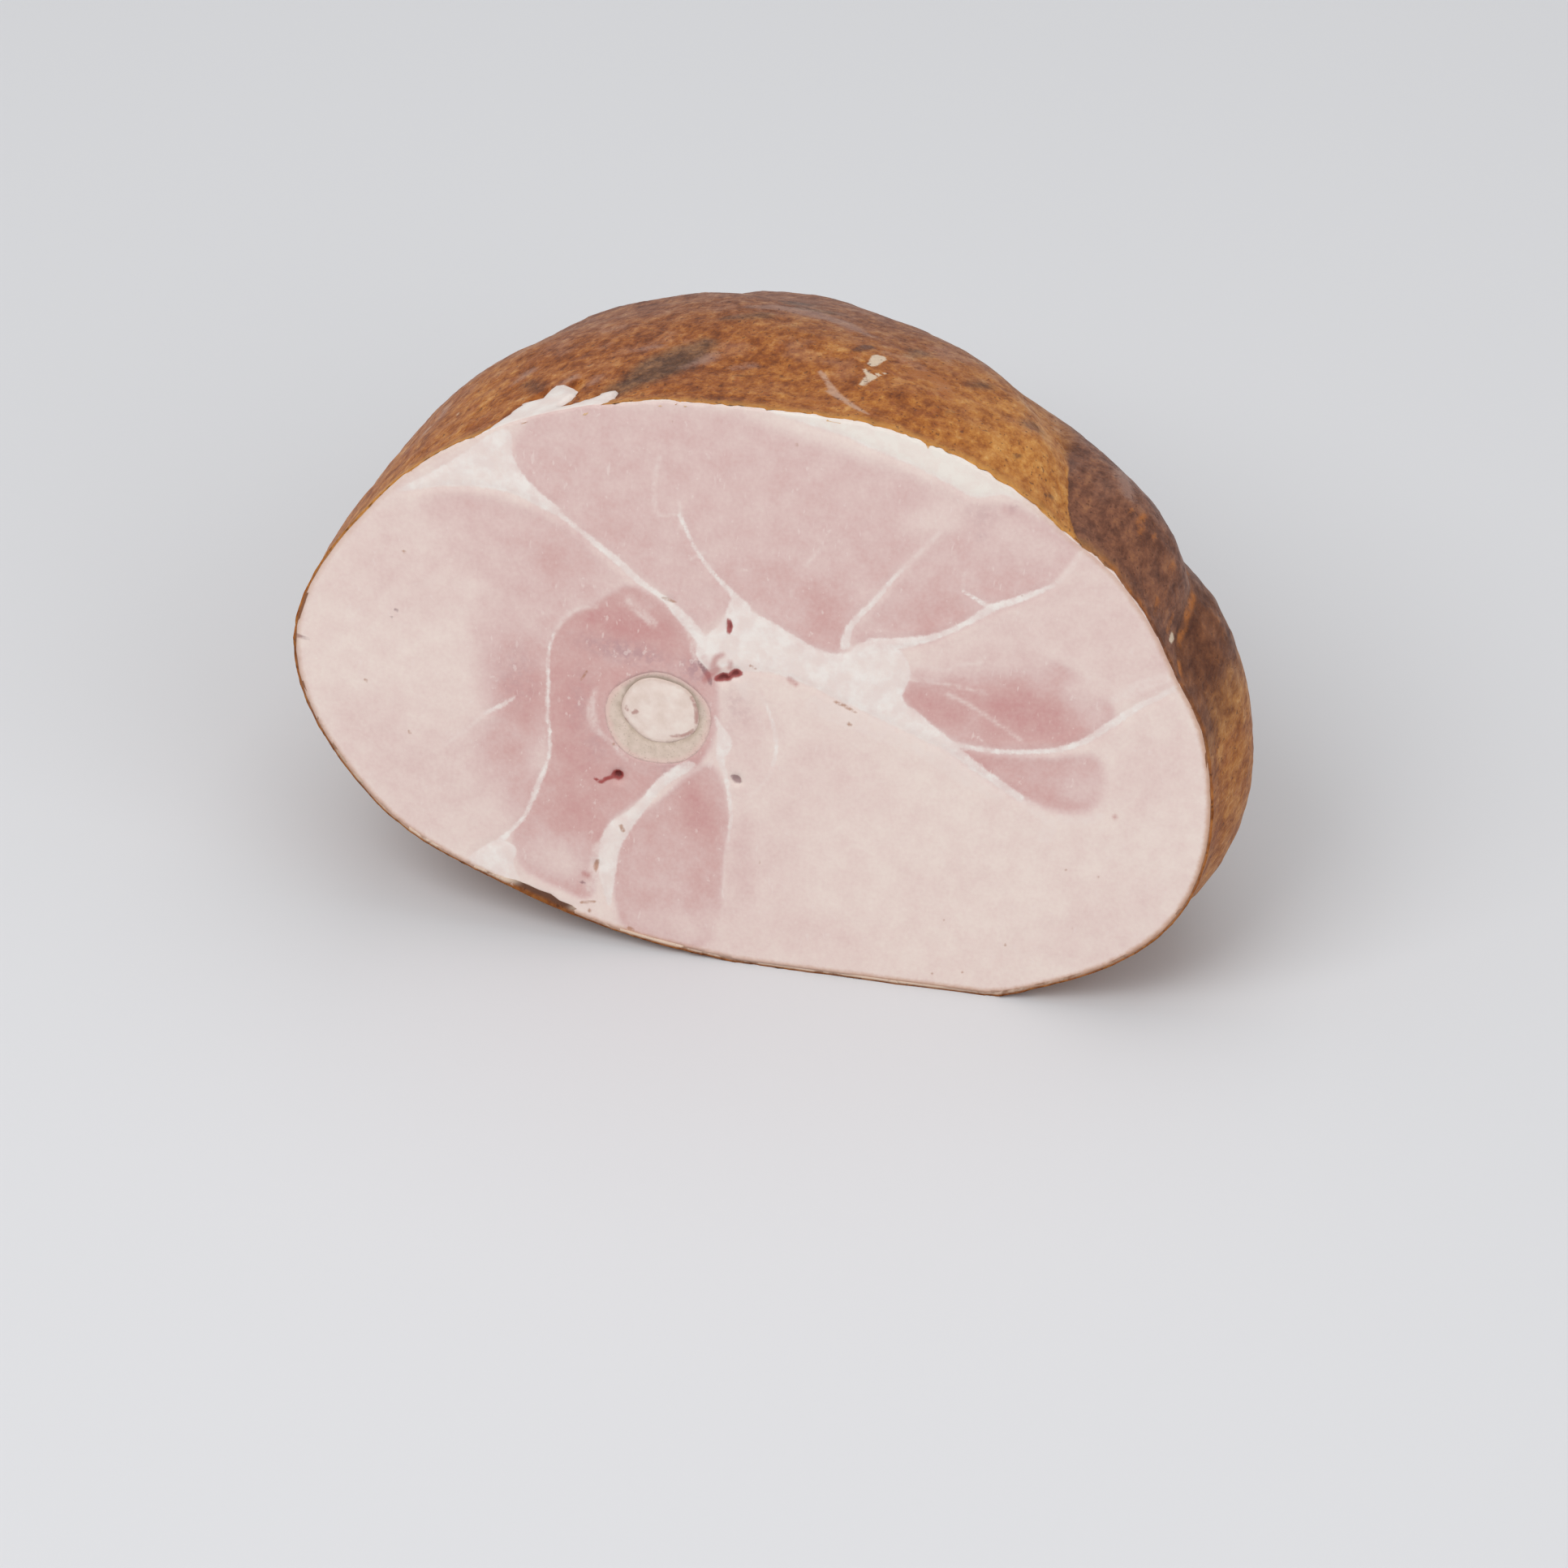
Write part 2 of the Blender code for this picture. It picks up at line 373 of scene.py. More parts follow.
def grainGroup():
    # fine unevenness that flesh, rind and bone share: a mask, and a height for Bump
    tree = bpy.data.node_groups.new("fine grain", "ShaderNodeTree")
    for name, kind in (("Vector", "NodeSocketVector"), ("Coarse", "NodeSocketFloat"),
                       ("Fine", "NodeSocketFloat")):
        tree.interface.new_socket(name, in_out="INPUT", socket_type=kind)
    for name in ("Blotch", "Grain", "Height"):
        tree.interface.new_socket(name, in_out="OUTPUT", socket_type="NodeSocketFloat")
    shader = Shader(tree)
    given = shader.add("NodeGroupInput").outputs
    out = shader.add("NodeGroupOutput").inputs
    blotch = shader.add("ShaderNodeTexNoise", {"Vector": given["Vector"], "Scale": given["Coarse"]})
    blotch.inputs["Detail"].default_value = 3.0
    grain = shader.add("ShaderNodeTexNoise", {"Vector": given["Vector"], "Scale": given["Fine"]})
    grain.inputs["Detail"].default_value = 2.0
    shader.plug(out["Blotch"], blotch.outputs["Fac"])
    shader.plug(out["Grain"], grain.outputs["Fac"])
    both = shader.scaled(blotch.outputs["Fac"], 0.6, grain.outputs["Fac"])
    shader.plug(out["Height"], both)
    return tree


fineGrain = grainGroup()


def useGrain(shader, where, coarse, fine):
    # sizes in millimetres
    made = shader.add("ShaderNodeGroup", node_tree=fineGrain)
    shader.plug(made.inputs["Vector"], where)
    made.inputs["Coarse"].default_value = 1.0 / (coarse * mm)
    made.inputs["Fine"].default_value = 1.0 / (fine * mm)
    return made.outputs


# The bone's outline on the cut, and the marrow's, both a little off round.
bone = {
    "atCut": (-69.8, 58.2),
    "atShank": (-83.0, 69.5),
    "centre": (-70.0, 58.0),
    "radii": (12.0, 11.3),
    "marrowCentre": (-69.5, 59.9),
    "marrowRadii": (8.7, 7.6),
    "marrowSeed": 2.0,
    "wobble": 0.22,
    "settles": 14.0,        # how deep behind the cut both are round again
    "bore": 16.0,           # nearer than this to the bone's middle is the tunnel for it
    "overlap": 0.15,        # how far flesh and marrow close onto the bone
}


def ovalPoint(angle, centre, radii, grow=0.0, seed=0.0):
    swell = bone["wobble"] * (np.sin(2.0 * angle + 1.0 + seed) + 0.8 * np.sin(5.0 * angle + 2.0 * seed))
    x = centre[0] + (radii[0] + swell + grow) * np.cos(angle)
    y = centre[1] + (radii[1] + swell + grow) * np.sin(angle)
    return np.stack([x, y], 1)


def wallOval(angle, grow=0.0):
    return ovalPoint(angle, bone["centre"], bone["radii"], grow)


def marrowOval(angle, grow=0.0):
    return ovalPoint(angle, bone["marrowCentre"], bone["marrowRadii"], grow, bone["marrowSeed"])


def ovalDepth(rows, oval):
    # how deep each row lies inside one of the two outlines
    turns = np.linspace(0.0, 2.0 * math.pi, 120, endpoint=False)
    return outlineDepth(rows[:, :2], oval(turns))


def fitToOval(rows, oval, grow=0.0):
    # draws the rows at the cut onto the oval, and leaves the deeper ones as they are
    near = smoothstep(1.0 + rows[:, 2] / bone["settles"])
    around = np.arctan2(rows[:, 1] - bone["atCut"][1], rows[:, 0] - bone["atCut"][0])
    rows[:, :2] += (oval(around, grow) - rows[:, :2]) * near[:, None]
    return rows


def boneMiddle(rows):
    t = smoothstep(-rows[:, 2] / cut["shankEnd"])[:, None]
    return np.array(bone["atCut"]) + (np.array(bone["atShank"]) - np.array(bone["atCut"])) * t


# What the saw laid bare, read off the cut in millimetres. Tones run from 0, the
# palest flesh, to 1, the deepest.
flesh = {
    "tone": 0.10,
    # outline, tone, how far its edge fades, in millimetres
    "muscles": (
        # the wide top muscle
        (((-104, 111), (-105, 120), (-99, 128), (-88, 131), (-60, 132), (-40, 128), (-15, 122),
          (-4, 117), (-9, 109), (-15, 102), (-20, 95), (-26, 87), (-30, 78), (-36, 79), (-45, 84),
          (-52, 88), (-57, 83), (-63, 79), (-70, 87), (-80, 94), (-90, 101), (-100, 108)),
         0.47, 2.5),
        # its neighbour between the two right-hand seams
        (((-27, 83), (-22, 91), (-15, 101), (-9, 109), (-4, 117), (8, 118), (20, 112), (22, 109),
          (17, 101), (10, 96), (3, 92), (-5, 87), (-15, 82), (-23, 81)),
         0.50, 1.5),
        # the pale one right of that
        (((23, 110), (30, 106), (44, 88), (47, 82), (38, 76), (30, 80), (18, 85), (5, 86),
          (-6, 84), (3, 92), (12, 97), (19, 103)),
         0.28, 3.0),
        # the dark eye
        (((-15, 72), (-12, 77), (-3, 79), (5, 82), (13, 84), (22, 82), (30, 76), (32, 72),
          (30, 68), (25, 64.5), (15, 61), (5, 60.5), (-3, 61.5), (-10, 66), (-15, 70)),
         0.66, 1.2),
        # the small one under the eye
        (((-4, 60), (2, 59.5), (10, 60), (20, 60.5), (28, 62), (31, 58), (30, 52), (28, 49),
          (22, 47.5), (17, 48.5), (10, 51), (3, 54.5), (-2, 58)),
         0.64, 1.6),
        # the pink left of the long seam
        (((-125, 104), (-121, 94), (-116, 87.5), (-106, 84), (-100, 76), (-96.5, 70.6), (-95, 76),
          (-91, 81), (-85, 84), (-79, 90), (-85, 96), (-92, 101), (-100, 104), (-112, 106)),
         0.50, 2.4),
        # and below that, where it deepens towards the seam
        (((-95, 74), (-94, 62), (-95, 52), (-104, 54), (-112, 62), (-114, 72), (-112, 84), (-103, 84)),
         0.46, 5.0),
        # round the bone
        (((-86, 83), (-91, 80), (-94.5, 75), (-95.7, 66), (-95.2, 52), (-95, 45), (-97, 38),
          (-99, 32), (-103, 25), (-100, 17), (-92, 13), (-84, 12), (-82, 25), (-80, 31),
          (-73, 38), (-66, 46), (-60, 48), (-56, 60), (-58, 72), (-63, 79), (-70, 86), (-78, 89)),
         0.72, 1.0),
        # between the wide seam and the lower middle seam
        (((-60, 47), (-67, 40), (-73, 34), (-77, 27), (-79, 19), (-78, 10), (-74, 4), (-60, 2),
          (-54, 10), (-53.5, 22), (-52.5, 35), (-54, 43), (-57, 48)),
         0.62, 0.9),
    ),
    # middle, radii, turn in degrees, tone
    "patches": (
        ((-128, 88), (22, 16), 0, 0.28), ((-125, 38), (26, 14), -30, 0.30),
        ((-101, 59), (8, 13), 0, 0.80), ((-96, 92), (8, 5), -30, 0.60),
        ((-106, 46), (9, 9), 0, 0.66), ((-100, 36), (7, 8), 20, 0.60),
        ((-34, 87), (8, 8), 0, 0.76), ((-45, 92), (10, 8), 0, 0.60), ((-95, 112), (6, 9), 0, 0.52),
        ((-82, 102), (12, 6), -35, 0.56), ((-22, 103), (9, 10), 0, 0.52),
        ((-10, 90), (9, 5), 25, 0.68), ((6, 99), (8, 5), 30, 0.60), ((9, 110), (8, 5), 0, 0.34),
        ((5, 82), (18, 4.2), 6, 0.34), ((27, 77.5), (8, 5), 30, 0.26), ((-7, 77.5), (7, 3), 10, 0.36),
        ((12, 69.5), (13, 6), 0, 0.92), ((-6, 69.5), (7, 5), 0, 0.80), ((29, 71), (4, 4), 30, 0.45),
        ((13, 54), (8, 3.5), -20, 0.68), ((3, 57.5), (6, 2.4), -15, 0.80), ((27, 55), (5, 6), 0, 0.50),
        ((-8, 114), (9, 4), 20, 0.26),
        ((-78, 79), (11, 4.5), -8, 0.97), ((-90, 62), (4, 14), 0, 0.86),
        ((-87, 45), (6, 8), 0, 0.84), ((-88, 34), (8, 7), 0, 0.80), ((-92, 20), (9, 6), 0, 0.34),
        ((-60, 36), (5, 9), 15, 0.88), ((-66, 18), (8, 9), 0, 0.56), ((-63, 7), (12, 5), 0, 0.36),
        ((-49, 24), (5, 18), 0, 0.42), ((-40, 30), (7, 18), 0, 0.24), ((-50, 57), (7, 10), 0, 0.32),
        ((-30, 50), (14, 10), -20, 0.22), ((35, 22), (16, 10), 20, 0.20),
        ((42, 60), (9, 12), 0, 0.26), ((-35, 10), (20, 6), 0, 0.24),
    ),
    # how smoke has browned its edge, against the angle round the cut
    "brownTurns": (0, 30, 50, 130, 165, 200, 240, 270, 330, 360),
    "browned": (0.9, 0.5, 0.0, 0.0, 0.35, 0.8, 0.9, 0.7, 1.0, 0.9),
    # soft mauve places: middle, radii, turn, strength
    "mauve": (
        ((-78, 73), (12, 3), -8, 0.75), ((-62, 71), (3.5, 3.5), 0, 0.95),
        ((-103, 64), (5, 8), 0, 0.35), ((0, 115), (4, 3), 0, 0.30), ((7, 118), (2, 1), 60, 0.45),
        ((-88, 60), (3, 9), 0, 0.30), ((0, 110), (1.4, 0.9), 30, 0.5), ((-52, 64), (4, 6), 0, 0.30),
        ((-66, 47), (5, 3), 30, 0.45), ((-84, 50), (3, 5), 0, 0.35),
    ),
}

fat = {
    # solid fat: outline points
    "masses": (
        ((-131, 105), (-124, 110), (-117, 115), (-110, 121), (-106, 122), (-105, 116),
         (-102, 111.5), (-98, 108), (-94, 105), (-95, 103.6), (-100, 105.6), (-106, 107.6),
         (-113, 108), (-121, 107.2)),
        ((-62, 76), (-59.5, 79.5), (-56.5, 83), (-54.5, 88.5), (-52.5, 88.5), (-50, 86.5),
         (-45, 84.3), (-40, 81.8), (-36, 79.8), (-32, 78.8), (-28, 79.3), (-25, 82), (-20, 83),
         (-16, 81), (-14, 78), (-13.5, 75), (-15, 71), (-14, 68.5), (-10, 65.5), (-6, 62.5),
         (-2, 60.5), (-6, 59.5), (-12, 61.5), (-20, 64.5), (-25, 66.3), (-30, 68), (-35, 70),
         (-40, 71.3), (-45, 72.3), (-51, 72), (-55, 72.5), (-58, 70.5), (-60.5, 72)),
        ((-114, 16), (-110, 20.5), (-106, 23), (-102, 21.5), (-102.5, 17.5), (-101, 13),
         (-106, 13.2), (-110, 14.5)),
        ((-67, 45.5), (-70, 42.5), (-73, 38), (-76, 34.5), (-80, 31), (-82, 27), (-82.5, 20),
         (-81, 13), (-79.5, 10), (-79, 14), (-78.4, 19), (-77.8, 24), (-76, 28.5), (-73, 33.7),
         (-70, 38.6), (-66, 43.2), (-61, 47.4), (-63, 48.5)),
    ),
    # the fat cap under the rind: its lower edge
    "cap": ((-50, 134.5), (-47, 133), (-40, 131.6), (-35, 130.5), (-30, 129.3), (-25, 127.6),
            (-20, 126), (-15, 124.4), (-10, 122.4), (-6, 120.6), (-3, 119.3), (0, 119.2),
            (4, 120.4), (8, 119.8), (11, 121)),
    # seams between the muscles: rows of x, y and width
    "seams": (
        ((-104, 110.5, 3), (-100, 107.5, 2.2), (-95, 104.5, 1.2), (-90, 101, 1), (-85, 97.5, 1.4),
         (-80, 94, 1.6), (-75, 90, 1.4), (-70, 87, 1.2), (-66, 83.5, 2.4), (-62, 79.5, 2.6),
         (-59.5, 76, 2.4)),
        ((-67, 107, 0.8), (-64, 101, 0.8), (-60, 95.5, 0.9), (-55, 90.5, 1.3), (-51, 87, 2)),
        ((-17, 100, 0.8), (-20, 96, 0.9), (-23, 91.5, 1.1), (-26, 88, 1.3), (-28, 84.5, 1.6),
         (-28.5, 81, 2.2)),
        ((17, 101, 0.8), (11, 97.5, 1.4), (7, 95.5, 1.6), (3, 93.5, 2), (0, 91, 1.4),
         (-5, 87.5, 1.2), (-10, 85, 1.6), (-16, 83, 2.6), (-22, 81.5, 4)),
        ((-3, 97, 0.5), (0, 95.5, 0.8), (3, 94, 1.2)),
        ((-13, 66, 4), (-8, 62.5, 3.5), (-3, 59.5, 2.5), (2, 56, 2.2), (8, 52.5, 1.8),
         (13, 49.5, 1.6)),
        ((-5, 60.6, 1.4), (2, 60.2, 1), (8, 60.2, 1), (14, 61, 1), (20, 62.2, 1.1),
         (25, 64.5, 1.3), (29, 67.5, 1.6), (33, 71, 1.7), (37, 74.5, 1.4), (42, 78, 1.2),
         (45, 80.3, 1.2)),
        ((-94.5, 75.5, 0.5), (-95.7, 70, 0.7), (-95.5, 62, 0.8), (-95.5, 56, 0.8), (-94.7, 50, 0.7),
         (-95, 45, 0.7), (-96.5, 40, 1.2), (-98.5, 34, 1.1), (-100, 30, 0.9), (-103, 26, 0.9),
         (-106, 22.5, 1.6)),
        ((-110, 54, 0.8), (-106, 56.5, 0.9), (-103, 59, 0.6)),
        ((-57, 60, 0.6), (-55.5, 57, 1.6), (-54.6, 54, 3.6), (-55.3, 50, 1.8), (-54, 46, 1),
         (-53, 41, 0.9), (-52.3, 36, 0.7), (-52.8, 30, 0.6)),
        ((-45.5, 64.5, 0.5), (-43.5, 59, 0.8), (-42.7, 54, 0.8), (-43.3, 50, 0.7)),
    ),
    # thin or sunken seams that only show faintly
    "faintSeams": (
        ((-72, 120, 0.6), (-73, 113, 0.8), (-72, 106.8, 0.6), (-68, 107, 0.6)),
        ((-67, 110, 0.6), (-66.5, 104, 1)),
        ((-9, 110, 0.8), (-13, 105, 0.9), (-17, 100, 1)),
        ((23, 111, 0.8), (20, 105, 1.3), (17, 101, 1)),
        ((-3, 101, 0.6), (-3, 97, 0.7)),
        ((13, 49.5, 2), (17, 46.5, 2.5), (20, 44, 2.5), (19, 41, 3)),
        ((22, 46, 1.8), (27, 46, 1.8), (31, 47.5, 1.8)),
        ((-14, 74.8, 0.8), (-8, 74.8, 0.7), (-4, 74.6, 0.6), (4, 73.4, 0.6)),
        ((-5, 72.3, 0.9), (-1, 70.8, 0.8), (4, 68.2, 0.7), (8, 66, 0.6), (12, 63.5, 0.6)),
        ((-12, 78.5, 0.8), (-6, 78, 0.7), (-3, 79.5, 0.6), (2, 80.8, 0.6)),
        ((-85, 83, 0.8), (-89, 82, 0.8), (-92, 79.5, 0.8), (-94.5, 75.5, 0.8)),
        ((-119, 45, 0.6), (-114, 49.5, 0.6), (-110, 54, 0.8)),
        ((-52.8, 30, 0.7), (-53.3, 24, 0.5), (-53.2, 16, 0.5)),
        ((-49, 69, 0.5), (-45.5, 64.5, 0.7)), ((-43.3, 50, 0.8), (-44.5, 46.5, 0.6), (-48, 42, 0.5)),
        ((45, 80.3, 1.4), (47.5, 83, 1.2)),
        ((-77.5, 85.5, 2.2), (-75, 83, 2), (-72, 80.5, 2)),
        ((-84.5, 63, 0.8), (-85.5, 58, 2), (-84, 53.5, 1.8), (-81.5, 51.5, 1.2), (-77, 47, 0.8)),
        ((-60, 75, 6), (-64, 82, 2)), ((-82, 24, 4), (-84, 14, 3)),
        ((-10, 60, 6), (0, 54, 5), (8, 50, 3)), ((-34, 66, 5), (-20, 62, 5), (-12, 60, 5)),
        ((32, 76, 2), (38, 80, 3), (44, 83, 2)), ((-52, 71, 4), (-50, 66, 2)),
        ((-38, 99, 0.7), (-35, 103, 0.6)), ((-61, 99, 0.6), (-64, 97, 0.5)),
    ),
}

# Small marks on the cut: rows of x, y and width.
marks = {
    "blood": (
        ((-57, 69.2, 1), (-55.6, 69.6, 1.8), (-54.4, 69.8, 1.2)),
        ((-54, 70.4, 0.9), (-52.8, 71, 1.7), (-51.7, 71.2, 0.8)),
        ((-78.8, 42.6, 2.1), (-79.3, 43, 1.4)),
        ((-79.5, 42.2, 0.7), (-81.5, 41.6, 0.5), (-82.6, 40.6, 0.4), (-84, 41.3, 0.3)),
        ((-54.7, 80.8, 0.7), (-54.6, 82.3, 1), (-54.9, 83.6, 0.5)),
    ),
    "pits": (            # where the flesh is open: x, y, width, depth
        (-55.6, 69.6, 2.2, 1.6), (-52.9, 71, 1.9, 1.3), (-78.8, 42.6, 2.2, 2),
        (-54.7, 82.2, 1.2, 0.9), (-51.5, 45.4, 2, 1.3), (-83, 20, 1.6, 0.8),
        (-68.5, 86.6, 1.2, 0.5), (-87.2, 66.1, 0.8, 0.4), (-28, 66.3, 1.2, 0.5),
    ),
    "red": (
        ((-57.9, 72.2, 1), (-57.4, 74.2, 0.9), (-56, 75.2, 0.7)),
        ((-54, 73.6, 0.5), (-54.2, 72.2, 0.6)),
        ((-57.2, 71.5, 1.6), (-58.8, 70, 1.6), (-59.8, 68.6, 0.9)),
        ((-40.5, 71.3, 0.7), (-39, 70.3, 0.5)), ((-85.8, 17.4, 0.7), (-84.8, 17, 0.6)),
        ((34.2, 48.1, 0.5), (34.3, 48, 0.5)),
        ((-75.8, 58.8, 0.7), (-75, 58.3, 0.7)),
    ),
    "brown": (
        ((-70.2, 87, 0.4), (-68.5, 86.6, 0.7), (-66.9, 86.3, 0.3)),
        ((-49.6, 73.5, 0.5), (-48.3, 72.8, 0.4)), ((-30, 67.3, 0.6), (-27.5, 66.3, 0.7), (-25, 65.3, 0.4)),
        ((-26.6, 62.4, 0.9), (-26.3, 62.2, 0.9)), ((-88, 65, 0.5), (-86.7, 67.2, 0.4)),
        ((-80, 50.4, 0.7), (-80, 50.2, 0.7)), ((-77.6, 30.5, 1), (-77, 29.4, 0.9)),
        ((-82.7, 21.2, 0.6), (-83.2, 19.6, 1.1), (-83, 18.4, 0.5)),
        ((-84.2, 8.5, 0.8), (-84.1, 8.2, 0.8)), ((-83, 10.8, 0.5), (-86.3, 10.1, 0.6)),
        ((-74.9, 5.2, 1), (-73.8, 4.8, 0.7)), ((-41.7, 126.5, 0.6), (-41.5, 126.4, 0.6)),
        ((-34.2, 113.5, 0.3), (-34, 113.4, 0.3)), ((-45.3, 26, 0.5), (-45.2, 25.8, 0.5)),
        ((24.2, 33.8, 0.4), (24.3, 33.7, 0.4)), ((31.5, 33, 0.5), (31.6, 32.9, 0.5)),
        ((26.5, 19.8, 0.5), (26.7, 19.7, 0.5)), ((11.8, 13.5, 0.6), (11.9, 13.4, 0.6)),
        ((2.5, 5.3, 0.5), (2.6, 5.2, 0.5)), ((-4.3, 3.9, 0.5), (-4.2, 3.8, 0.5)),
        ((-2.5, 17.6, 0.4), (-2.4, 17.5, 0.4)), ((-138, 58.5, 0.7), (-137.8, 58.3, 0.7)),
        ((-129.7, 90.7, 0.6), (-129.3, 90.5, 0.6)), ((-127.6, 47.2, 0.6), (-127.4, 46.8, 0.6)),
        ((-69.5, 128.5, 0.4), (-69.3, 128.4, 0.4)), ((10, 97.5, 0.3), (10.2, 97.4, 0.3)),
    ),
    "grey": (
        ((-52.3, 46, 1.2), (-51.5, 45.3, 1.8), (-50.7, 45, 1)),
        ((-61.6, 73, 0.5), (-60, 71.2, 1.2), (-58.8, 69.4, 1.2), (-58.4, 67.6, 0.6)),
        ((-131.2, 76.5, 0.7), (-130.6, 76.2, 0.5)), ((-132.2, 74.6, 0.6), (-132, 74.4, 0.5)),
        ((-86.3, 15.2, 0.8), (-85.6, 14.9, 0.6)), ((-155, 67.4, 1.2), (-151.5, 66.8, 0.5)),
    ),
}


# The smoked rind: places on it are x, y on the cut and the depth behind it.
rind = {
    "thick": 1.0,
    "frontBand": 12.0,      # this much behind the cut is made finer
    "swell": 0.55,
    "wrinkle": 0.16,
    "jag": 1.7,
    "jagMost": 3.0,
    "clear": 0.26,          # how far the relief starts under the solid's outside
    "creaseDeep": (0.55, 0.5),
    # where fat is dragged over the rind: rows of x, y, depth and width
    "tongues": (
        ((-111, 116, -1, 5), (-105, 121, 3, 11), (-100.5, 124.8, 9, 13), (-98, 127, 14.5, 9)),
        ((-95, 129, -1, 6), (-90, 131.5, 2, 8), (-87, 132.5, 6, 6), (-85.5, 132.8, 9.5, 3.5)),
        ((-104, 122.5, 0, 3), (-97, 127.5, 1.5, 5), (-90, 131.5, 0, 4)),
        ((-80, 133.5, -1, 2.5), (-74, 134, 0.8, 2.8), (-68, 134, -1, 2)),
    ),
    "tongueSink": 0.75,     # how far the rind lies under them
    "flapTurn": 230.5,      # a thick dark flap of rind under the left of the cut
    "flapWidth": 4.5,
    "flapThick": 1.5,
    # the dark right side starts at this crease
    "creaseA": ((22, 113, -2), (22, 113, 3), (20, 116, 11), (17, 119, 24), (14, 120, 37),
                (11, 119, 50), (2, 114, 78)),
    "creaseB": ((48, 80, -2), (47, 82, 2), (47, 87, 8), (46, 91, 18), (44, 93, 28), (43, 95, 33),
                (38, 97, 48)),
    # how gold it is, against the angle round the cut in degrees
    "goldTurns": (45, 60, 80, 105, 130, 145, 170, 300, 340),
    "goldness": (1.0, 0.45, 0.3, 0.1, 0.0, 0.35, 0.4, 0.1, 0.5),
    # and how pale its sawn edge is
    "paleTurns": (0, 185, 205, 300, 330, 360),
    "paleEdge": (0.0, 0.0, 1.0, 1.0, 0.3, 0.0),
    "goldStreaks": (
        ((32, 107, 17, 0.5), (31, 108, 22, 1.4), (31, 107, 27, 0.6)),
        ((34, 104, 18, 0.5), (34, 105, 21, 1), (33, 106, 26, 0.5)),
        ((29, 110, 20, 0.4), (29, 110, 24, 0.9)), ((39, 100, 16, 0.4), (39, 100, 22, 0.9)),
        ((44, 92, 5, 0.5), (43, 93, 12, 1)), ((41, 97, 3, 0.5), (40, 98, 8, 0.9)),
        ((-46, 134, 8, 0.6), (-38, 134, 11, 1.8), (-28, 134, 13, 0.6)),
        ((-24, 134, 36, 2), (-19, 134, 42, 6), (-14, 133, 34, 3)),
    ),
    "smudge": (
        ((-84.5, 133, 9, 4), (-79.5, 134, 20, 10), (-75.5, 134, 30, 11), (-71, 134, 42, 4)),
        ((-88, 132, 8, 1), (-84, 133, 14, 4)),
    ),
    "smudges": (
        ((-60, 129, 84, 3), (-59, 129, 92, 5)), ((-57, 133, 79, 2), (-51, 133, 82, 5)),
        ((-26, 132, 54, 1), (-25, 132, 60, 3)), ((-11, 130, 44, 1), (-8, 130, 48, 3)),
        ((4, 125, 33, 1), (6, 125, 37, 2.4)), ((-70, 133, 58, 1), (-62, 133, 62, 3)),
        ((-105, 126, 20, 1), (-108, 124, 26, 2)),
    ),
    # painted lilac-grey sheen: strokes where a reflection of the bright surroundings is painted into the
    # colour
    "lilacSheen": (
        ((-129, 109, 34, 1.2), (-129, 109, 38, 2.4), (-129, 108, 42, 1)),
        ((-131, 106, 27, 1), (-131, 106, 31, 2.2), (-131, 105, 34, 0.8)),
        ((-133, 104, 23, 0.8), (-133, 104, 27, 1.4)),
        ((-67, 133, 70, 2), (-56, 133, 75, 7), (-46, 133, 71, 5), (-38, 133, 64, 2)),
        ((-87, 133.5, 36, 1), (-84.5, 134, 38, 2.6), (-82, 134, 39, 1)),
        ((-72.5, 134, 25, 1.2), (-69, 134, 31, 2.6), (-67.5, 134, 35, 1.2)),
        ((-62, 134, 27, 0.8), (-58, 134, 30, 1.6)), ((-100, 127, 18, 0.8), (-97, 128, 22, 1.6)),
        ((-92, 131, 16, 0.8), (-91, 131, 20, 1.4)), ((-112, 122, 30, 0.8), (-110, 123, 36, 1.8)),
        ((28, 112, 28, 1), (26, 113, 36, 4), (24, 113, 44, 2)),
    ),
    "cream": (
        ((-32.5, 134, 38.5, 2.2), (-31.8, 134, 45, 3.2)), ((-32, 134, 24, 1.4), (-31, 134, 31, 2.4)),
        ((-31, 134, 31, 1.2), (-28.5, 134, 34.5, 0.8)), ((-31.8, 134, 31, 1), (-33.5, 134, 34.5, 0.8)),
        ((44.5, 90, 5.4, 1), (44.5, 90, 7.8, 1.6)), ((-124, 115, 24, 0.6), (-124, 115, 25.5, 0.7)),
    ),
    "scar": (
        ((-42.5, 134, 30, 1.4), (-39, 134, 22, 1.4), (-35.5, 134, 15.5, 2), (-31, 134, 10, 1.4),
         (-27.3, 134, 6.4, 0.8)),
        ((-39, 134, 18, 0.8), (-35, 134, 14, 1.6)),
    ),
    "brown": (
        ((-37.5, 134, 46, 2.2), (-35.5, 134, 52, 2.8)), ((-12, 131, 20, 0.5), (-11, 131, 22, 0.8)),
        ((-60, 134, 22, 0.5), (-56, 134, 23, 0.9)), ((5, 126, 14, 0.6), (6, 126, 16, 0.8)),
        ((14, 120, 8, 0.5), (15, 119, 10, 0.9)),
    ),
}


def ovalShare(where, middle, radii, turn):
    # 1 in the middle of a soft oval, fading out past its edge
    angle = math.radians(turn)
    off = where - np.array(middle, float)
    x = (off[:, 0] * math.cos(angle) + off[:, 1] * math.sin(angle)) / radii[0]
    y = (off[:, 1] * math.cos(angle) - off[:, 0] * math.sin(angle)) / radii[1]
    return np.exp(-1.2 * (x * x + y * y) ** 1.3)


def turnOf(rows):
    # the angle round the middle of the cut, in degrees from its right
    return np.degrees(np.arctan2(rows[:, 1] - cut["centre"][1], rows[:, 0] - cut["centre"][0])) % 360.0


def alongTop(turn, start, rise, end, fall):
    # 1 between two angles, fading out over rise and fall
    return smoothstep((turn - start) / rise) * smoothstep((end - turn) / fall)


def closedRing(points):
    return smoothPath(points, 1.0, closed=True)


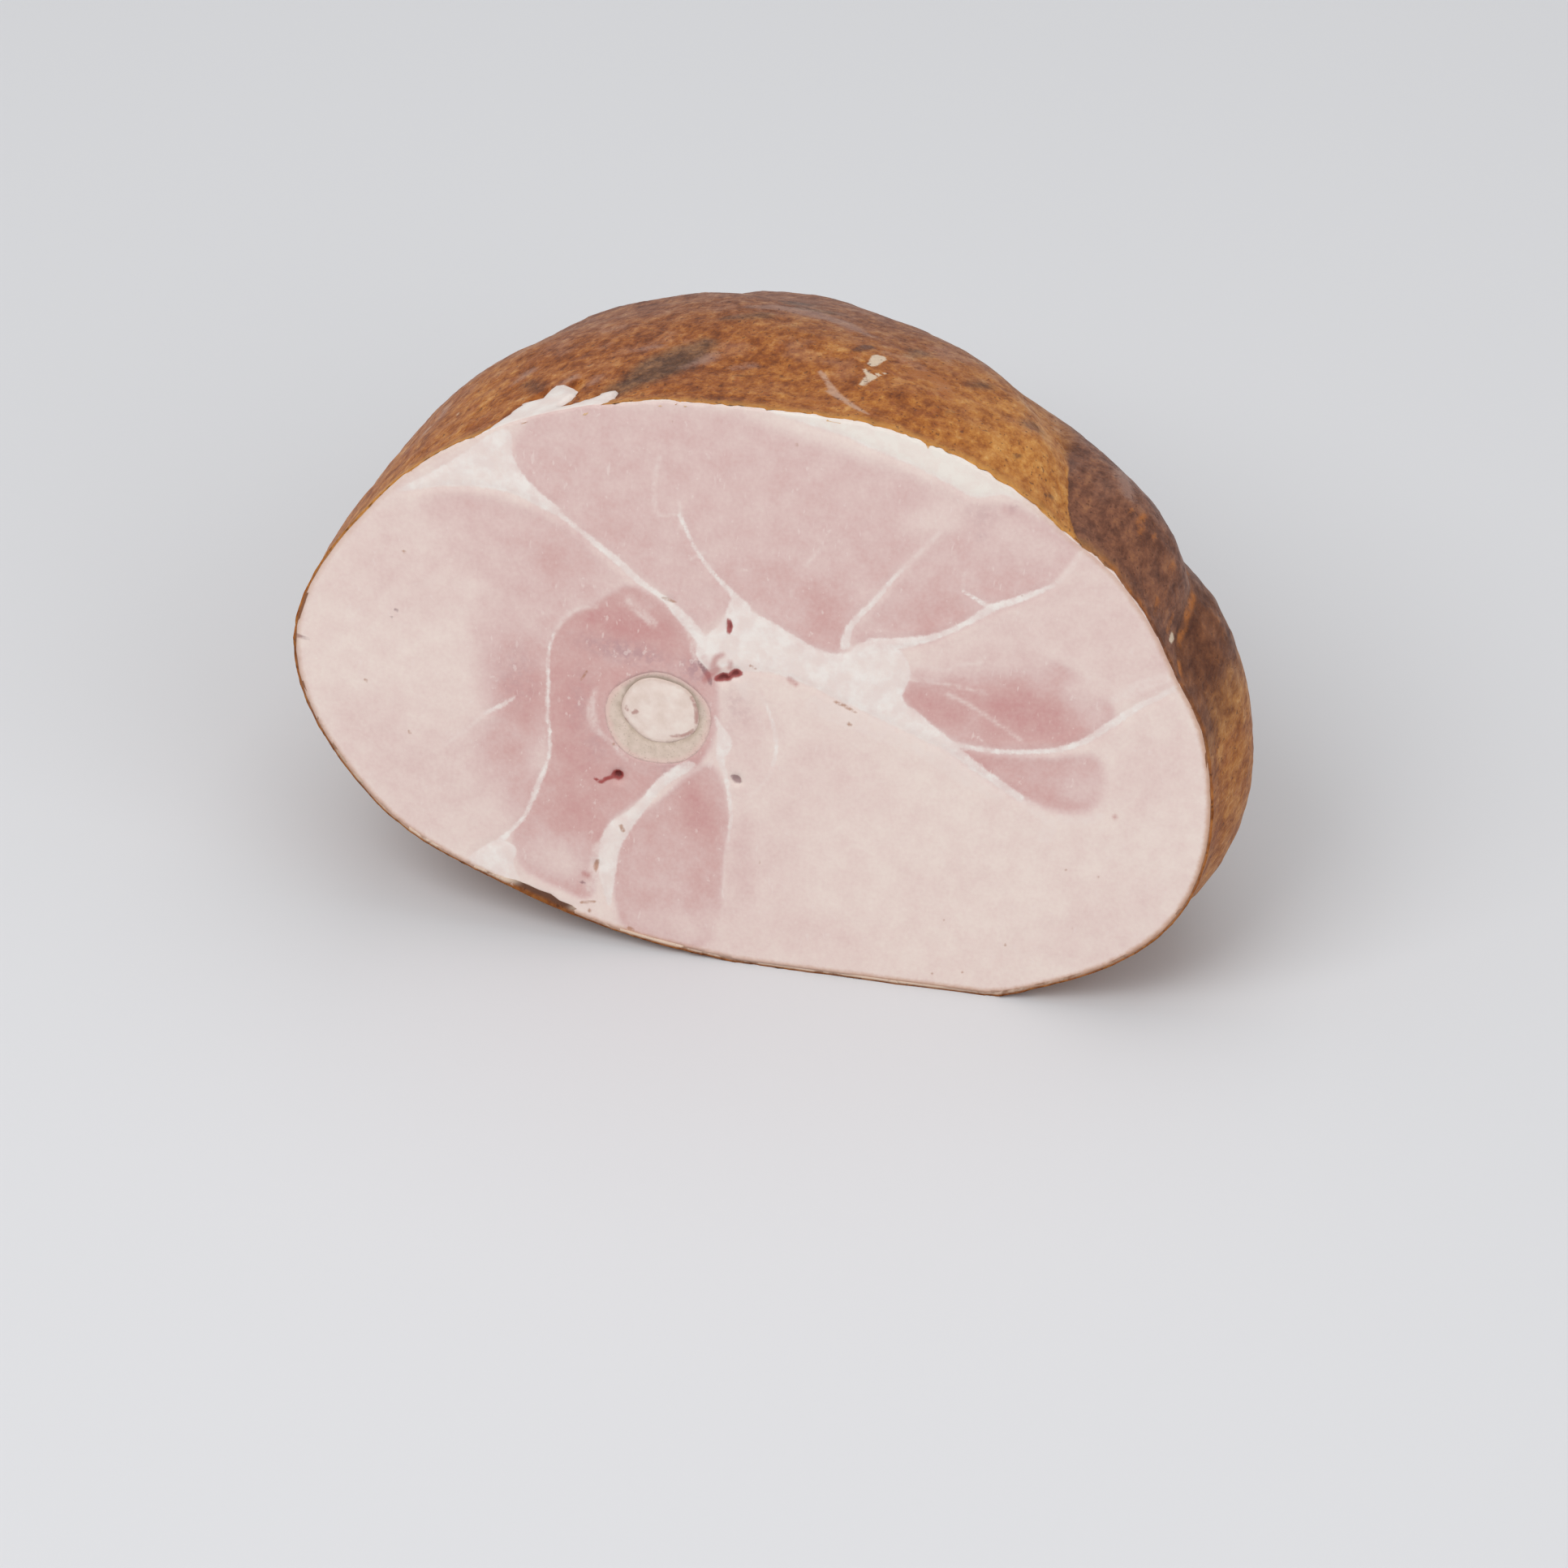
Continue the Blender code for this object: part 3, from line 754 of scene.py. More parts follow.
def deepest(where, strokes, reach=3.0, step=1.0):
    return np.max([strokeDepth(where, smoothPath(rows, step), reach) for rows in strokes], axis=0)


def fleshTone(where):
    tone = np.full(len(where), flesh["tone"])
    for outline, value, blur in flesh["muscles"]:
        share = smoothstep(outlineDepth(where, closedRing(outline), 12.0) / (2.0 * blur) + 0.5)
        tone += (value - tone) * share
    for middle, radii, turn, value in flesh["patches"]:
        tone += (value - tone) * ovalShare(where, middle, radii, turn)
    return tone


def fatDepths(where):
    # the solid fat's depth in millimetres, and faint fat from 0 to 1
    masses = [outlineDepth(where, closedRing(outline), 6.0) for outline in fat["masses"]]
    capEdge = smoothPath(fat["cap"], 1.0)
    lift = np.interp(where[:, 0], capEdge[:, 0], capEdge[:, 1])
    cap = np.where((where[:, 0] > capEdge[0, 0]) & (where[:, 0] < capEdge[-1, 0]),
                   (where[:, 1] - lift) * 0.9, -6.0)
    solid = np.maximum(np.max(masses, axis=0), np.maximum(cap, deepest(where, fat["seams"])))
    faint = smoothstep(deepest(where, fat["faintSeams"]) / 0.9 + 0.55)
    return solid, faint, cap


def tongueShare(rows):
    # where the fat lies over the rind near the cut, from 0 to 1
    flipped = rows * (1.0, 1.0, -1.0)
    depth = deepest(flipped, rind["tongues"], 8.0)
    near = np.flatnonzero(depth > -4.0)
    depth[near] += 0.9 * cloud(rows[near], 2.2, 12.0)
    return smoothstep(depth / 1.2 + 0.6)


print("reading the cut")


def makeMeat(material):
    size = {
        "underRind": 0.85,      # how far the flesh stops below the rind's outside at the cut
        "deepUnder": 2.6,       # and how far a little behind it
        "rimBand": 13.0,        # this much behind the cut is made fine
        "rimCuts": 5,
        "step": 0.62,           # grid on the cut
        "backStep": 1.6,
        "relief": 0.34,
        "seamDip": 0.22,
        "pitShare": 0.42,       # how much of a pit's width is its hollow
        "flare": 0.4,           # how far the fat stands out along the top
        "clear": 0.6,           # room behind the rim for the relief on the cut
        "tongueUnder": 0.2,     # where fat is dragged over the rind
    }
    frontBand = (-0.5, 0.5)
    backBand = (-cut["shankEnd"] - 2.0, 4.0 - cut["shankEnd"])
    bm = nodeCopy("ham_meat")
    bmesh.ops.delete(bm, geom=sawnFaces(bm), context="FACES")
    bmesh.ops.recalc_face_normals(bm, faces=bm.faces)
    joinSquares(bm)
    refineRim(bm, size["rimBand"], size["rimCuts"])
    rows = vertRows(bm)
    normals = vertNormals(bm)
    middle = boneMiddle(rows)
    tunnel = np.linalg.norm(rows[:, :2] - middle, axis=1) < bone["bore"]
    behind = np.minimum(-rows[:, 2], rows[:, 2] + cut["shankEnd"])
    deeper = smoothstep((behind - 1.5) / 6.0)
    under = size["underRind"] + (size["deepUnder"] - size["underRind"]) * deeper
    upper = alongTop(turnOf(rows), 35.0, 20.0, 165.0, 20.0)
    under -= size["flare"] * upper * smoothstep(1.0 + rows[:, 2] / 4.0)
    under += (size["tongueUnder"] - under) * tongueShare(rows)
    rim = rows[:, 2] > -0.06
    rows[~tunnel] -= (normals * under[:, None])[~tunnel]
    rows[:, 2] -= size["clear"] * np.exp(np.minimum(rows[:, 2], 0.0) / 2.0)
    rows[rim, 2] = 0.0
    rows[tunnel] = fitToOval(rows[tunnel], wallOval, -bone["overlap"])
    moveVerts(bm, rows)
    bmesh.ops.remove_doubles(bm, verts=[v for v in bm.verts if v.co.z > -2.0], dist=0.005)
    gridFill(bm, openLoops(bm, *frontBand), size["step"])
    gridFill(bm, openLoops(bm, *backBand), size["backStep"])

    rows = vertRows(bm)
    where = rows[:, :2]
    front = rows[:, 2] > -0.01
    back = rows[:, 2] < 2.0 - cut["shankEnd"]
    tone = np.full(len(rows), 0.05)
    solid = np.full(len(rows), 2.0)
    faint = np.zeros(len(rows))
    cap = np.full(len(rows), -6.0)
    tone[front] = fleshTone(where[front])
    solid[front], faint[front], cap[front] = fatDepths(where[front])

    # the shank end: darker shank muscles in a few bundles round the bone
    bundle = cloud(rows[back] * (1.0, 1.0, 0.2), 17.0, 3.0)
    gap = np.linalg.norm(where[back] - np.array(bone["atShank"]), axis=1)
    tone[back] = np.clip(0.72 + 0.22 * cloud(rows[back], 9.0, 5.0), 0.3, 1.0)
    solid[back] = np.maximum(0.7 - 9.0 * np.abs(bundle), 0.6 - np.abs(gap - 15.5))
    rimGap = np.full(len(rows), 20.0)
    for low, high in (frontBand, backBand):
        part = (rows[:, 2] > low) & (rows[:, 2] < high)
        side = [v for v in bm.verts if low < v.co.z < high
                and not all(low - 0.2 <= w.co.z <= high + 0.2 for f in v.link_faces for w in f.verts)]
        edge = np.array([v.co[:2] for v in side])
        edge = edge[np.linalg.norm(edge - boneMiddle(np.array([[0, 0, low]])), axis=1) > bone["bore"]]
        rimGap[part] = outlineDepth(where[part], edge[np.argsort(turnOf(edge))])
    solid[back] = np.maximum(solid[back], 1.8 - rimGap[back] + 0.8 * bundle)

    # relief on the cut: flesh sinks between its fat and seams, and vessels are open pits
    swell = cloud(rows[front], 14.0, 1.0) * 0.10 + cloud(rows[front], 3.0, 2.0) * 0.05
    sunk = size["relief"] * np.clip(tone[front], 0.0, 1.0) * smoothstep(-solid[front] / 3.0)
    dip = size["seamDip"] * bell(solid[front] / 0.6) * smoothstep(rimGap[front] / 4.0)
    boneGap = -ovalDepth(rows[front], wallOval)
    drop = cut["skim"] + (swell + sunk + dip) * smoothstep(boneGap / 4.0)
    for x, y, wide, deep in marks["pits"]:
        drop += deep * bell(np.linalg.norm(where[front] - (x, y), axis=1) / (wide * size["pitShare"]))
    rows[front, 2] = -np.clip(drop, 0.0, None)
    moveVerts(bm, rows)

    for name, values in (("fleshTone", tone), ("fatDepth", solid), ("faintFat", faint),
                         ("capFat", cap), ("rimGap", rimGap)):
        setFloats(bm, name, values)
    mauve = np.zeros(len(rows))
    for place, radii, turn, strength in flesh["mauve"]:
        mauve[front] = np.maximum(mauve[front], strength * ovalShare(where[front], place, radii, turn))
    setFloats(bm, "mauve", mauve)
    for kind in ("blood", "red", "brown", "grey"):
        values = np.full(len(rows), -3.0)
        values[front] = deepest(where[front], marks[kind], 3.0, 0.5)
        setFloats(bm, kind + "Mark", values)
    browned = np.interp(turnOf(rows), flesh["brownTurns"], flesh["browned"])
    setFloats(bm, "browned", np.where(front, browned, 0.0))
    return finishPiece("hamMeat", bm, material, "ham_meat")


def meatMaterial():
    mat, shader, surface, where = newMaterial("cooked ham")
    grain = useGrain(shader, where, 5.0, 0.9)
    blotch = shader.math("SUBTRACT", grain["Blotch"], 0.5)
    fine = shader.math("SUBTRACT", grain["Grain"], 0.5)
    tone = shader.scaled(blotch, 0.46, shader.attribute("fleshTone"))
    tone = shader.scaled(fine, 0.30, tone)
    colour = shader.ramp(tone, (
        (0.0, (234, 217, 208)), (0.25, (227, 204, 197)), (0.5, (218, 188, 183)),
        (0.75, (209, 168, 163)), (1.0, (201, 149, 146))))
    mauve = shader.attribute("mauve")
    broken = shader.fade(shader.noise(where, 1.6, 3.0, 0.6), 0.36, 0.62, 0.2, 0.95)
    colour = shader.mix(shader.times(mauve, broken), colour, tint(184, 146, 148))

    # small pale flecks of fat in the lean
    fleck = shader.noise(shader.stretched(where, 1.0, 1.0, 0.7), 1.5, 2.0, 0.6)
    fleck = shader.scaled(mauve, 0.07, fleck)
    fleck = shader.fade(fleck, 0.665, 0.74, 0.0, 0.45)
    thread = shader.noise(shader.stretched(where, 1.0, 1.0, 0.24), 0.9, 1.0, 0.5)
    thread = shader.fade(thread, 0.66, 0.78, 0.0, 0.5)
    thread = shader.times(thread, shader.fade(shader.noise(where, 15.0, 1.0), 0.46, 0.6))
    colour = shader.mix(shader.math("MAXIMUM", fleck, thread), colour, tint(232, 214, 208))

    ragged = shader.noise(where, 1.1, 3.0, 0.6)
    ragged = shader.scaled(ragged, 1.1, -0.55)
    fatDepth = shader.plus(shader.attribute("fatDepth"), ragged)
    fatShare = shader.fade(fatDepth, -0.35, 0.35)
    mottle = shader.fade(shader.noise(where, 3.2, 4.0, 0.65), 0.38, 0.62, 0.62, 1.0)
    faint = shader.times(shader.attribute("faintFat"), 0.5)
    faint = shader.times(faint, shader.plus(broken, 0.25))
    colour = shader.mix(faint, colour, tint(233, 217, 210))
    fatColour = shader.mix(shader.fade(shader.noise(where, 4.0), 0.35, 0.65), tint(238, 230, 224),
                           tint(231, 216, 210))
    fatColour = shader.mix(shader.fade(shader.attribute("capFat"), -0.5, 1.0), fatColour,
                           tint(237, 229, 220))
    colour = shader.mix(shader.times(fatShare, mottle), colour, fatColour)

    # the marks, from the faintest to the open vessels
    uneven = shader.times(ragged, 0.35)
    for name, start, end, strength, mark in (
            ("brownMark", -0.25, 0.25, 0.72, tint(168, 116, 84)),
            ("greyMark", -0.25, 0.3, 0.75, tint(136, 100, 104)),
            ("redMark", -0.9, 0.5, 0.60, tint(176, 96, 92)),
            ("bloodMark", -0.45, 0.05, 0.92, tint(158, 62, 60)),
            ("bloodMark", 0.0, 0.55, 0.85, tint(104, 34, 32))):
        colour = shader.mix(shader.edge(name, uneven, start, end, strength), colour, mark)

    # smoke has browned the flesh where it meets the rind
    rim = shader.scaled(ragged, 0.8, shader.attribute("rimGap"))
    rim = shader.fade(rim, 0.1, 1.5, 1.0, 0.0)
    rim = shader.times(rim, shader.attribute("browned"))
    colour = shader.mix(shader.times(rim, 0.8), colour, tint(188, 138, 104))
    shader.plug(surface.inputs["Base Color"], colour)
    shader.plug(surface.inputs["Roughness"], shader.fade(fatShare, 0.0, 1.0, 0.50, 0.42))
    shader.roughen(surface, grain["Height"], 0.35, 0.12)
    surface.inputs["Specular IOR Level"].default_value = 0.35
    return mat


def creaseGap(rows, crease):
    # millimetres round the rind from a crease, more than nought below it
    line = np.array(crease, float)
    turns = np.degrees(np.arctan2(line[:, 1] - cut["centre"][1], line[:, 0] - cut["centre"][0]))
    depth = -rows[:, 2]
    reach = np.hypot(rows[:, 0] - cut["centre"][0], rows[:, 1] - cut["centre"][1])
    turn = (turnOf(rows) + 180.0) % 360.0 - 180.0
    return np.radians(np.interp(depth, line[:, 2], turns) - turn) * reach


def raggedness(rows):
    # how far the knife tore the rind back from the cut
    turn = turnOf(rows)
    flat = rows * (1.0, 1.0, 0.0)
    torn = 0.5 + 0.7 * cloud(flat, 3.2, 7.0) + 0.55 * cloud(flat, 1.5, 8.0)
    upper = alongTop(turn, 5.0, 30.0, 185.0, 30.0)
    torn = np.clip(torn * rind["jag"] * (0.25 + 0.75 * upper), 0.0, rind["jagMost"])
    return torn * (1.0 - 0.95 * bell((turn - rind["flapTurn"]) / (1.2 * rind["flapWidth"])))


def onSkin(strokes, spots, normals):
    # strokes read off the photograph, brought in or out onto the rind
    paths = []
    for stroke in strokes:
        path = smoothPath(stroke, 1.5)
        path[:, 2] *= -1.0
        for row in path:
            near = np.argmin(np.linalg.norm(spots - row[:3], axis=1))
            row[:3] += normals[near] * ((spots[near] - row[:3]) @ normals[near])
        paths.append(path)
    return paths


def makeRind(material):
    bm = nodeCopy("ham_meat")
    middle = boneMiddle(vertRows(bm))
    inner = {v.index for v, at in zip(bm.verts, middle)
             if (v.co.xy - Vector(at)).length < bone["bore"]}
    sawn = set(sawnFaces(bm))
    bare = [f for f in bm.faces if f in sawn or all(v.index in inner for v in f.verts)]
    bmesh.ops.delete(bm, geom=bare, context="FACES")
    bmesh.ops.recalc_face_normals(bm, faces=bm.faces)
    joinSquares(bm)
    bmesh.ops.subdivide_edges(bm, edges=bm.edges, cuts=1, smooth=1.0, use_grid_fill=True)
    outside = bm.faces.layers.int.new("outside")
    outer = set(bm.faces)
    bmesh.ops.solidify(bm, geom=bm.faces[:], thickness=rind["thick"])
    for face in bm.faces:
        face[outside] = int(face in outer)
    for depth in (400.0, rind["frontBand"]):
        edges = {e for f in bm.faces if f[outside] for e in f.edges
                 if all(v.co.z > -depth for v in e.verts)}
        bm.edges.index_update()
        edges = sorted(edges, key=lambda e: e.index)
        bmesh.ops.subdivide_edges(bm, edges=edges, cuts=1, use_grid_fill=True)
    skin = np.array([any(f[outside] for f in v.link_faces) for v in bm.verts])
    rows = vertRows(bm)
    bmesh.ops.recalc_face_normals(bm, faces=bm.faces)
    normals = vertNormals(bm)
    lip = rows[:, 2] > -0.2
    normals[lip, 2] = 0.0
    normals /= np.maximum(np.linalg.norm(normals, axis=1), 1e-6)[:, None]
    gapA = creaseGap(rows, rind["creaseA"])
    gapB = creaseGap(rows, rind["creaseB"])
    depth = -rows[:, 2]
    turn = turnOf(rows)

    # relief goes inwards only, and leaves the patch that the ham lies on flat
    upwards = np.array([cutRight.z, cutUp.z, cutOut.z])
    height = rows @ upwards
    resting = smoothstep((height - 0.3) / 3.0)
    settle = smoothstep(depth / 7.0) * 0.8 + 0.2
    swell = rind["swell"] * (0.5 + 0.5 * cloud(rows, 16.0, 1.0)) + 0.18 * cloud(rows, 6.0, 2.0)
    wrinkle = rind["wrinkle"] * (1.0 - np.abs(cloud(rows * (0.7, 0.8, 1.0), 2.4, 3.0)))
    drop = rind["clear"] + (swell + wrinkle) * settle + rind["tongueSink"] * tongueShare(rows)
    fade = (1.0 - smoothstep((depth - 35.0) / 40.0)) * smoothstep((depth - 0.4) / 3.0)
    deepA, deepB = rind["creaseDeep"]
    drop += fade * (deepA * bell(gapA / 0.9) * smoothstep(gapA + 1.0) + deepB * bell(gapB))
    side = np.where(skin, -1.0, 1.0)
    rows += normals * (side * np.clip(drop, 0.05, 1.3) * resting)[:, None]

    torn = raggedness(rows)
    rows[:, 2] = np.minimum(rows[:, 2], 0.0)
    rows[:, 2] -= torn * np.exp(rows[:, 2] / (2.2 * torn + 1.0))
    flap = rind["flapThick"] * smoothstep(1.4 * bell((turn - rind["flapTurn"]) / rind["flapWidth"]))
    flap *= 1.0 + 0.5 * cloud(rows * (1.0, 1.0, 0.0), 2.0, 14.0)
    inwards = np.array([*cut["centre"], 0.0]) - rows
    inwards[:, 2] = 0.0
    inwards /= np.linalg.norm(inwards, axis=1)[:, None]
    innerLip = ~skin & (depth < 0.5)
    rows[innerLip] += inwards[innerLip] * flap[innerLip][:, None]

    # nothing sinks below the table
    sunk = np.where(skin, 0.0, rind["thick"] * 0.9) - rows @ upwards
    rows += upwards * np.clip(sunk, 0.0, None)[:, None]
    rows[:, 2] = np.minimum(rows[:, 2], 0.0)
    moveVerts(bm, rows)
    bm.faces.layers.int.remove(bm.faces.layers.int["outside"])

    setFloats(bm, "creaseA", np.clip(gapA, -30.0, 30.0))
    setFloats(bm, "creaseB", np.clip(gapB, -30.0, 30.0))
    setFloats(bm, "behindCut", depth)
    setFloats(bm, "lip", np.where(innerLip, 1.0, 0.0))
    setFloats(bm, "upper", alongTop(turn, 20.0, 25.0, 175.0, 20.0))
    setFloats(bm, "paleEdge", np.interp(turn, rind["paleTurns"], rind["paleEdge"]))
    setFloats(bm, "goldness", np.interp(turn, rind["goldTurns"], rind["goldness"]))
    setFloats(bm, "flap", bell((turn - rind["flapTurn"]) / rind["flapWidth"]))
    for kind in ("goldStreaks", "smudges", "lilacSheen", "cream", "scar", "brown", "smudge"):
        values = np.full(len(rows), -8.0)
        paths = onSkin(rind[kind], rows[skin], normals[skin])
        values[skin] = np.max([strokeDepth(rows[skin], path, 8.0) for path in paths], axis=0)
        setFloats(bm, kind, values)
    return finishPiece("hamRind", bm, material, "ham_meat")


def rindMaterial():
    mat, shader, surface, where = newMaterial("smoked rind")
    along = shader.stretched(where, 1.0, 0.55, 1.0)
    grain = useGrain(shader, along, 2.0, 0.75)
    slow = shader.noise(where, 17.0, 3.0, 0.55)
    middle = shader.noise(along, 4.5, 3.0, 0.6)
    grit = shader.noise(where, 0.6, 2.0, 0.7)
    shade = shader.scaled(middle, 1.3, shader.times(grain["Blotch"], 1.2))
    shade = shader.scaled(grain["Grain"], 0.65, shade)
    shade = shader.scaled(grit, 0.5, shade)
    shade = shader.scaled(slow, 0.6, shade)
    shade = shader.scaled(shade, 0.84, -1.288)
    gold = shader.ramp(shade, (
        (0.0, (104, 50, 18)), (0.3, (142, 77, 27)), (0.5, (167, 98, 36)), (0.7, (186, 119, 50)),
        (1.0, (212, 154, 84))))
    dark = shader.ramp(shade, (
        (0.0, (76, 45, 36)), (0.35, (106, 66, 49)), (0.6, (128, 82, 60)), (1.0, (160, 108, 72))))

    rosy = shader.fade(shader.noise(along, 3.4, 3.0, 0.6), 0.50, 0.72, 0.0, 0.5)
    gold = shader.mix(rosy, gold, tint(160, 88, 46))
    goldness = shader.attribute("goldness")
    brightGold = shader.ramp(shade, (
        (0.0, (142, 80, 30)), (0.3, (176, 110, 48)), (0.5, (196, 131, 62)), (0.7, (208, 147, 76)),
        (1.0, (226, 174, 106))))
    redGold = shader.ramp(shade, (
        (0.0, (76, 38, 18)), (0.3, (120, 60, 22)), (0.5, (148, 80, 30)), (0.7, (172, 103, 46)),
        (1.0, (202, 142, 84))))
    gold = shader.mix(shader.fade(goldness, 0.3, 1.0, 0.0, 0.75), gold, brightGold)
    gold = shader.mix(shader.fade(goldness, 0.0, 0.35, 0.7, 0.0), gold, redGold)

    # smoke lies unevenly: the dark side starts at one crease and deepens past the next
    wander = shader.scaled(middle, 3.0, -1.5)
    behind = shader.attribute("behindCut")
    blur = shader.fade(behind, 25.0, 70.0, 0.6, 16.0)
    edgeA = shader.plus(shader.attribute("creaseA"), shader.times(wander, 0.4))
    darkShare = shader.fade(shader.math("DIVIDE", edgeA, blur), -0.5, 0.5)
    deeper = shader.fade(shader.attribute("creaseB"), -8.0, 3.0)
    darkest = shader.ramp(shade, (
        (0.0, (74, 41, 30)), (0.4, (104, 63, 43)), (0.7, (124, 77, 50)), (1.0, (154, 100, 62))))
    dark = shader.mix(deeper, dark, darkest)
    low = shader.scaled(wander, 4.0, shader.attribute("creaseB"))
    dark = shader.mix(shader.fade(low, 8.0, 30.0, 0.0, 0.8), dark, gold)
    colour = shader.mix(darkShare, gold, dark)

    # bright gold in the creases, along the cut and in a few streaks
    fineWander = shader.scaled(grit, 1.4, -0.7)
    fineWander = shader.scaled(middle, 1.6, shader.math("SUBTRACT", fineWander, 0.8))
    lineB = shader.math("ABSOLUTE", shader.plus(shader.attribute("creaseB"), fineWander))
    patchy = shader.fade(shader.noise(where, 7.0, 2.0, 0.5), 0.42, 0.58, 0.12, 1.0)
    lineShare = shader.fade(lineB, 0.2, 1.7, 0.95, 0.0)
    lineShare = shader.times(lineShare, shader.fade(behind, 30.0, 60.0, 1.0, 0.0))
    lineShare = shader.times(lineShare, patchy)
    streak = shader.edge("goldStreaks", fineWander, -0.6, 0.8, 0.8)
    bright = shader.math("MAXIMUM", lineShare, streak)
    rimLine = shader.scaled(fineWander, 2.2, behind)
    onDark = shader.times(shader.fade(rimLine, 0.2, 3.2, 1.0, 0.0), darkShare)
    onDark = shader.times(onDark, patchy)
    onDark = shader.times(onDark, shader.fade(middle, 0.35, 0.6, 0.15, 0.7))
    bright = shader.math("MAXIMUM", bright, onDark)
    colour = shader.mix(bright, colour, tint(172, 104, 50))
    rimGold = shader.times(shader.fade(rimLine, 0.3, 5.0, 0.55, 0.0),
                          shader.attribute("upper"))
    colour = shader.mix(rimGold, colour, tint(208, 150, 76))
    far = shader.scaled(wander, 6.0, behind)
    colour = shader.mix(shader.fade(far, 35.0, 85.0, 0.0, 0.55), colour, dark)

    # sooty smudges, a painted grey-lilac sheen (a painted reflection, in patches that grow stronger
    # further back and along the lilac strokes), and bits of fat and scars
    smudge = shader.edge("smudge", shader.times(wander, 1.6), -3.0, 2.0, 0.9)
    sooty = shader.edge("smudges", wander, -3.2, 1.2, 0.7)
    soot = shader.ramp(shade, ((0.0, (58, 39, 29)), (0.45, (96, 66, 47)), (1.0, (152, 106, 70))))
    colour = shader.mix(shader.math("MAXIMUM", smudge, sooty), colour, soot)
    # painted sheen: grey patches that grow stronger further behind the cut stand in for a reflection
    greySheen = shader.fade(shader.noise(along, 8.0, 3.0, 0.6), 0.50, 0.68, 0.0, 0.24)
    greySheen = shader.times(greySheen, shader.fade(behind, 10.0, 60.0, 0.15, 1.0))
    # the lilac strokes, more painted sheen
    lilacSheen = shader.scaled(fineWander, 2.2, shader.attribute("lilacSheen"))
    lilacSheen = shader.fade(lilacSheen, -2.2, 1.2, 0.0, 0.48)
    colour = shader.mix(shader.math("MAXIMUM", greySheen, lilacSheen), colour, tint(172, 140, 128))
    for name, start, end, strength, mark in (
            ("brown", -0.9, 0.6, 0.85, tint(86, 42, 26)), ("scar", -0.5, 0.5, 0.70, tint(200, 164, 142)),
            ("cream", -0.35, 0.25, 0.92, tint(220, 200, 176))):
        share = shader.scaled(fineWander, 0.6, shader.attribute(name))
        colour = shader.mix(shader.fade(share, start, end, 0.0, strength), colour, mark)

    # dark pores, and the sawn edge of the rind: pale above, browned below
    pores = shader.fade(shader.noise(along, 0.95, 1.0, 0.5), 0.27, 0.34, 0.55, 0.0)
    colour = shader.mix(pores, colour, tint(84, 48, 32))
    edgeColour = shader.mix(shader.attribute("upper"), tint(136, 92, 66), tint(214, 178, 136))
    paleEdge = shader.fade(middle, 0.36, 0.5, 0.25, 1.0)
    paleEdge = shader.times(shader.attribute("paleEdge"), paleEdge)
    edgeColour = shader.mix(paleEdge, edgeColour, tint(224, 200, 180))
    flap = shader.fade(shader.attribute("flap"), 0.3, 0.7)
    edgeColour = shader.mix(flap, edgeColour, tint(104, 70, 54))
    colour = shader.mix(shader.fade(shader.attribute("lip"), 0.15, 0.7), colour, edgeColour)
    shader.plug(surface.inputs["Base Color"], colour)
    rough = shader.fade(shade, 0.0, 1.0, 0.52, 0.40)
    shader.plug(surface.inputs["Roughness"], rough)
    surface.inputs["Specular IOR Level"].default_value = 0.16
    height = shader.scaled(middle, 1.6, grain["Height"])
    height = shader.math("SUBTRACT", height, shader.times(pores, 1.2))
    shader.roughen(surface, height, 0.55, 0.35)
    return mat


makeMeat(meatMaterial())
makeRind(rindMaterial())


shaft = {
    "step": 0.5,
    "backStep": 1.2,
    "band": 13.0,
    "cuts": 2,
    "wallRadius": 10.4,     # between the inside and the outside of the CAD shaft
    "dish": 0.25,
    "capLean": 0.6,
}


def openEnds(bm):
    # takes the caps off, which lean a little, and brings both rims to the saw cuts
    bmesh.ops.delete(bm, geom=sawnFaces(bm, shaft["capLean"]), context="FACES")
    for v in bm.verts:
        for level in (0.0, -cut["shankEnd"]):
            if abs(v.co.z - level) < shaft["capLean"]:
                v.co.z = level
    joinSquares(bm)
    refineRim(bm, shaft["band"], shaft["cuts"])


def fillEnds(bm):
    gridFill(bm, openLoops(bm, -0.5, 0.5), shaft["step"])
    gridFill(bm, openLoops(bm, -cut["shankEnd"] - 1.0, 1.0 - cut["shankEnd"]), shaft["backStep"])


def makeBone(material):
    bm = nodeCopy("leg_bone")
    openEnds(bm)
    rows = vertRows(bm)
    outer = np.linalg.norm(rows[:, :2] - boneMiddle(rows), axis=1) > shaft["wallRadius"]
    rows[outer] = fitToOval(rows[outer], wallOval)
    rows[~outer] = fitToOval(rows[~outer], marrowOval)
    moveVerts(bm, rows)
    fillEnds(bm)
    rows = vertRows(bm)
    wallGap = ovalDepth(rows, wallOval)
    inside = -ovalDepth(rows, marrowOval)
    front = rows[:, 2] > -0.01
    drop = cut["skim"] + 0.06 * cloud(rows, 1.6, 4.0) * smoothstep(wallGap)
    drop += shaft["dish"] * bell(inside / 0.5)
    rows[front, 2] = -np.clip(drop, 0.0, None)[front]
    moveVerts(bm, rows)
    atCut = rows[:, 2] > -4.0
    setFloats(bm, "wallGap", np.where(atCut, np.clip(wallGap, -2.0, 8.0), 2.0))
    setFloats(bm, "marrowGap", np.where(atCut, np.clip(inside, -2.0, 8.0), 2.0))
    return finishPiece("legBone", bm, material, "leg_bone")


# red flecks and brown rims on the marrow: rows of x, y and width
marrowMarks = (
    ((-75.9, 58.6, 0.4), (-75.2, 58.9, 0.8), (-74.7, 59.1, 0.3)),
    ((-77.4, 59.8, 0.4), (-77, 59, 0.5)),
    ((-62.6, 64, 0.5), (-61.4, 61.5, 0.7), (-61.3, 58, 0.6)),
    ((-61.8, 56, 0.5), (-64, 54.6, 0.5), (-67, 54, 0.4)), ((-77.5, 57, 0.3), (-77.2, 55.8, 0.5)),
)


